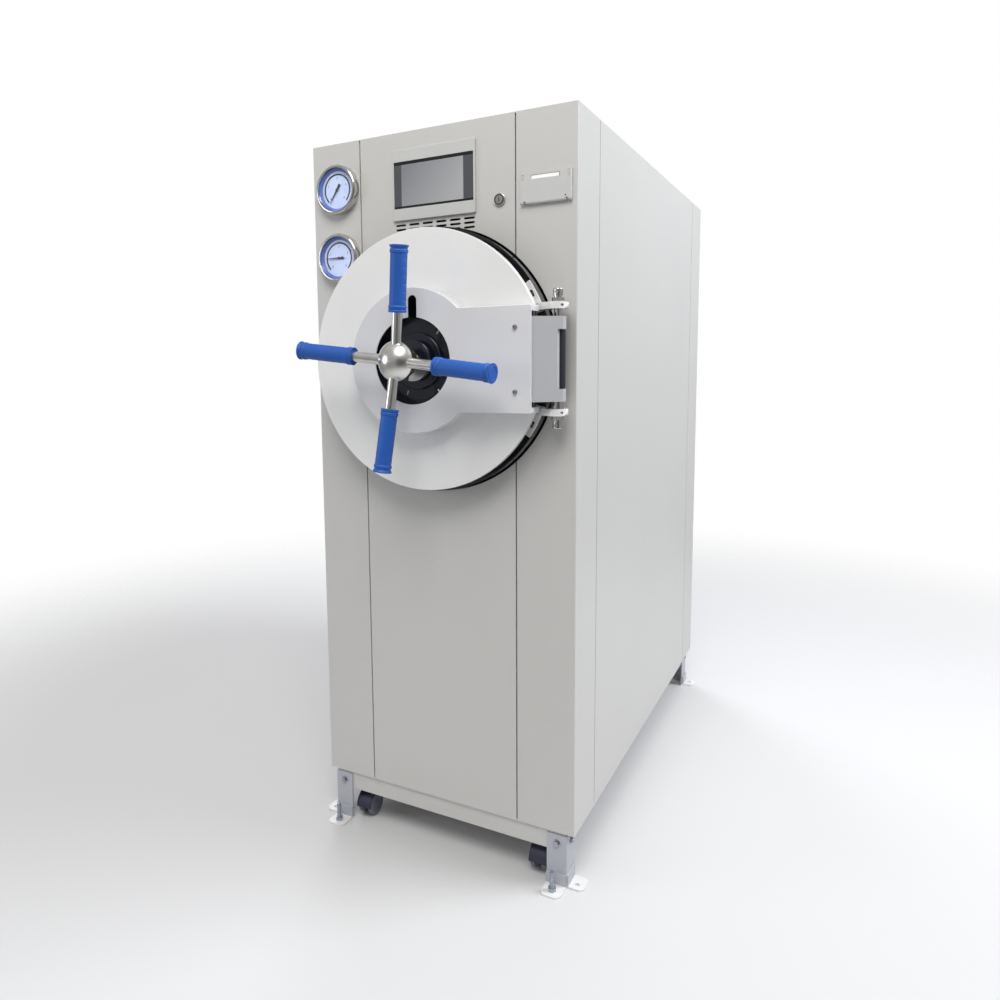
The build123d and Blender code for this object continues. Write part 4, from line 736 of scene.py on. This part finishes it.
# Shaft collar: a black ring over the shaft's collar, open at the lower right, where the steel shows
shroud = {"inner": 17, "outer": 43, "foot": 91.2, "front": 103.6, "start": -12, "end": 255, "steps": 60}
sheet = bmesh.new()
slices = []
for step in range(shroud["steps"] + 1):
    angle = radians(shroud["start"] + (shroud["end"] - shroud["start"]) * step / shroud["steps"])
    slices.append([sheet.verts.new(onFront(radius * cos(angle), axisZ / mm + radius * sin(angle), out))
                   for radius, out in ((shroud["inner"], 103.1), (shroud["outer"] - 2, 103.1), (shroud["outer"], 102),
                                       (shroud["outer"], 91.5), (shroud["outer"] + 0.6, 91.5),
                                       (shroud["outer"] + 0.6, 102.4), (shroud["outer"] - 1.6, 103.8),
                                       (shroud["inner"], 103.8))])
for one, two in zip(slices, slices[1:]):
    for corner in range(len(one)):
        sheet.faces.new((one[corner], one[corner - 1], two[corner - 1], two[corner]))
sheet.faces.new(slices[0])
sheet.faces.new(slices[-1][::-1])
showPiece(closeMesh(sheet, "shaftShroud", finishes["hubEnamel"]), "shaftShroud", "handwheel")

# Key lock: a thin black ring on the chromed escutcheon's face, round the plug
plugRing = {"x": 156.03, "z": 1480.5, "profile": [(8.5, 3.6), (10.6, 3.6), (10.6, 4.25), (8.5, 4.25)]}
sheet = bmesh.new()
turnedRing(sheet, plugRing["profile"], plugRing["x"], plugRing["z"], steps=40)
showPiece(closeMesh(sheet, "keyBlackRing", finishes["inkBlack"]), "keyBlackRing", "cabinet")

# Grip ends: a moulded ring on each end face
gripEnd = {"turn": 6.5, "rake": 21 / 228, "root": 166, "reach": 228, "radius": 14, "bead": 0.9}
endRing, given = newShapeTree("gripEndRing", {"Ring Radius": "Float", "Bead Radius": "Float"})
ringLine = addNode(endRing, "GeometryNodeCurvePrimitiveCircle", {"Resolution": 40, "Radius": given["Ring Radius"]})
bead = addNode(endRing, "GeometryNodeCurvePrimitiveCircle", {"Resolution": 8, "Radius": given["Bead Radius"]})
ringBody = addNode(endRing, "GeometryNodeCurveToMesh", {"Curve": ringLine.outputs[0], "Profile Curve": bead.outputs[0]})
closeShapeTree(endRing, given, ringBody.outputs[0])
endSeeds = []
for quarter in range(4):
    angle = radians(gripEnd["turn"] + 90 * quarter)
    along = Vector((sin(angle), -gripEnd["rake"], cos(angle))).normalized()
    endSeeds.append((onFront(0, axisZ / mm, gripEnd["root"]) + along * gripEnd["reach"] * mm, along))
growPiece("gripEndRings", endRing, endSeeds, "handwheel", "grip_plastic", smooth=True,
          Ring_Radius=gripEnd["radius"] * mm, Bead_Radius=gripEnd["bead"] * mm, Finish=finishes["gripBlue"])

# Index marks on the hub's foot: three short white lines that the handwheel's travel is read from
marks = {"places": ((48, 59), (50, -63), (-27, -67)), "out": 78.15, "size": (9, 0.5, 2), "bevel": 0.1}
sheet = bmesh.new()
for x, z in marks["places"]:
    addBlock(sheet, onFront(x, axisZ / mm + z, marks["out"]), marks["size"], marks["bevel"],
             Matrix.Rotation(-atan2(z, x), 4, "Y"))
showPiece(closeMesh(sheet, "hubMarks", finishes["markWhite"]), "hubMarks", "door")

# Printer cover: paper standing in the slot, two latches and a dark lamp
strip = {"left": 227.5, "right": 288.5, "low": 1511.3, "high": 1518.8, "out": 8.6, "bulge": 0.35, "lean": 3.5,
         "steps": 12, "thick": 0.12}
sheet = bmesh.new()
columns = []
for step in range(strip["steps"] + 1):
    share = step / strip["steps"]
    out = strip["out"] - strip["bulge"] * (2 * share - 1) ** 2
    across = strip["left"] + (strip["right"] - strip["left"]) * share
    lean = strip["lean"] * (1 - share) ** 3
    columns.append([sheet.verts.new(onFront(across + shift, z, out - back))
                    for z, shift, back in ((strip["low"], 0, 0), (strip["high"], lean, 0.4),
                                           (strip["high"], lean, 0.4 + strip["thick"]),
                                           (strip["low"], 0, strip["thick"]))])
for one, two in zip(columns, columns[1:]):
    for corner in range(4):
        sheet.faces.new((one[corner], one[corner - 1], two[corner - 1], two[corner]))
sheet.faces.new(columns[0])
sheet.faces.new(columns[-1][::-1])
showPiece(closeMesh(sheet, "printerPaper", finishes["paper"]), "printerPaper", "printer_lid")

latches = {"places": ((211, 1515.5), (309, 1515.5)), "out": 8.5, "size": (2.6, 0.9, 9), "bevel": 0.3}
sheet = bmesh.new()
for x, z in latches["places"]:
    addBlock(sheet, onFront(x, z, latches["out"]), latches["size"], latches["bevel"])
showPiece(closeMesh(sheet, "printerLatches", finishes["consoleGrey"]), "printerLatches", "printer_lid")

lampGlass = {"x": 302, "z": 1473, "profile": [(0.0, 9.1), (0.8, 8.9), (1.35, 8.4), (1.5, 7.6), (0.0, 7.6)]}
finishes["lamp"] = stoveEnamel("lampLens", "#16181c", "#1f2228", roughness=0.1)
sheet = bmesh.new()
turnedRing(sheet, lampGlass["profile"], lampGlass["x"], lampGlass["z"], steps=20)
showPiece(closeMesh(sheet, "printerLamp", finishes["lamp"]), "printerLamp", "printer_lid")
print("printer dressed")
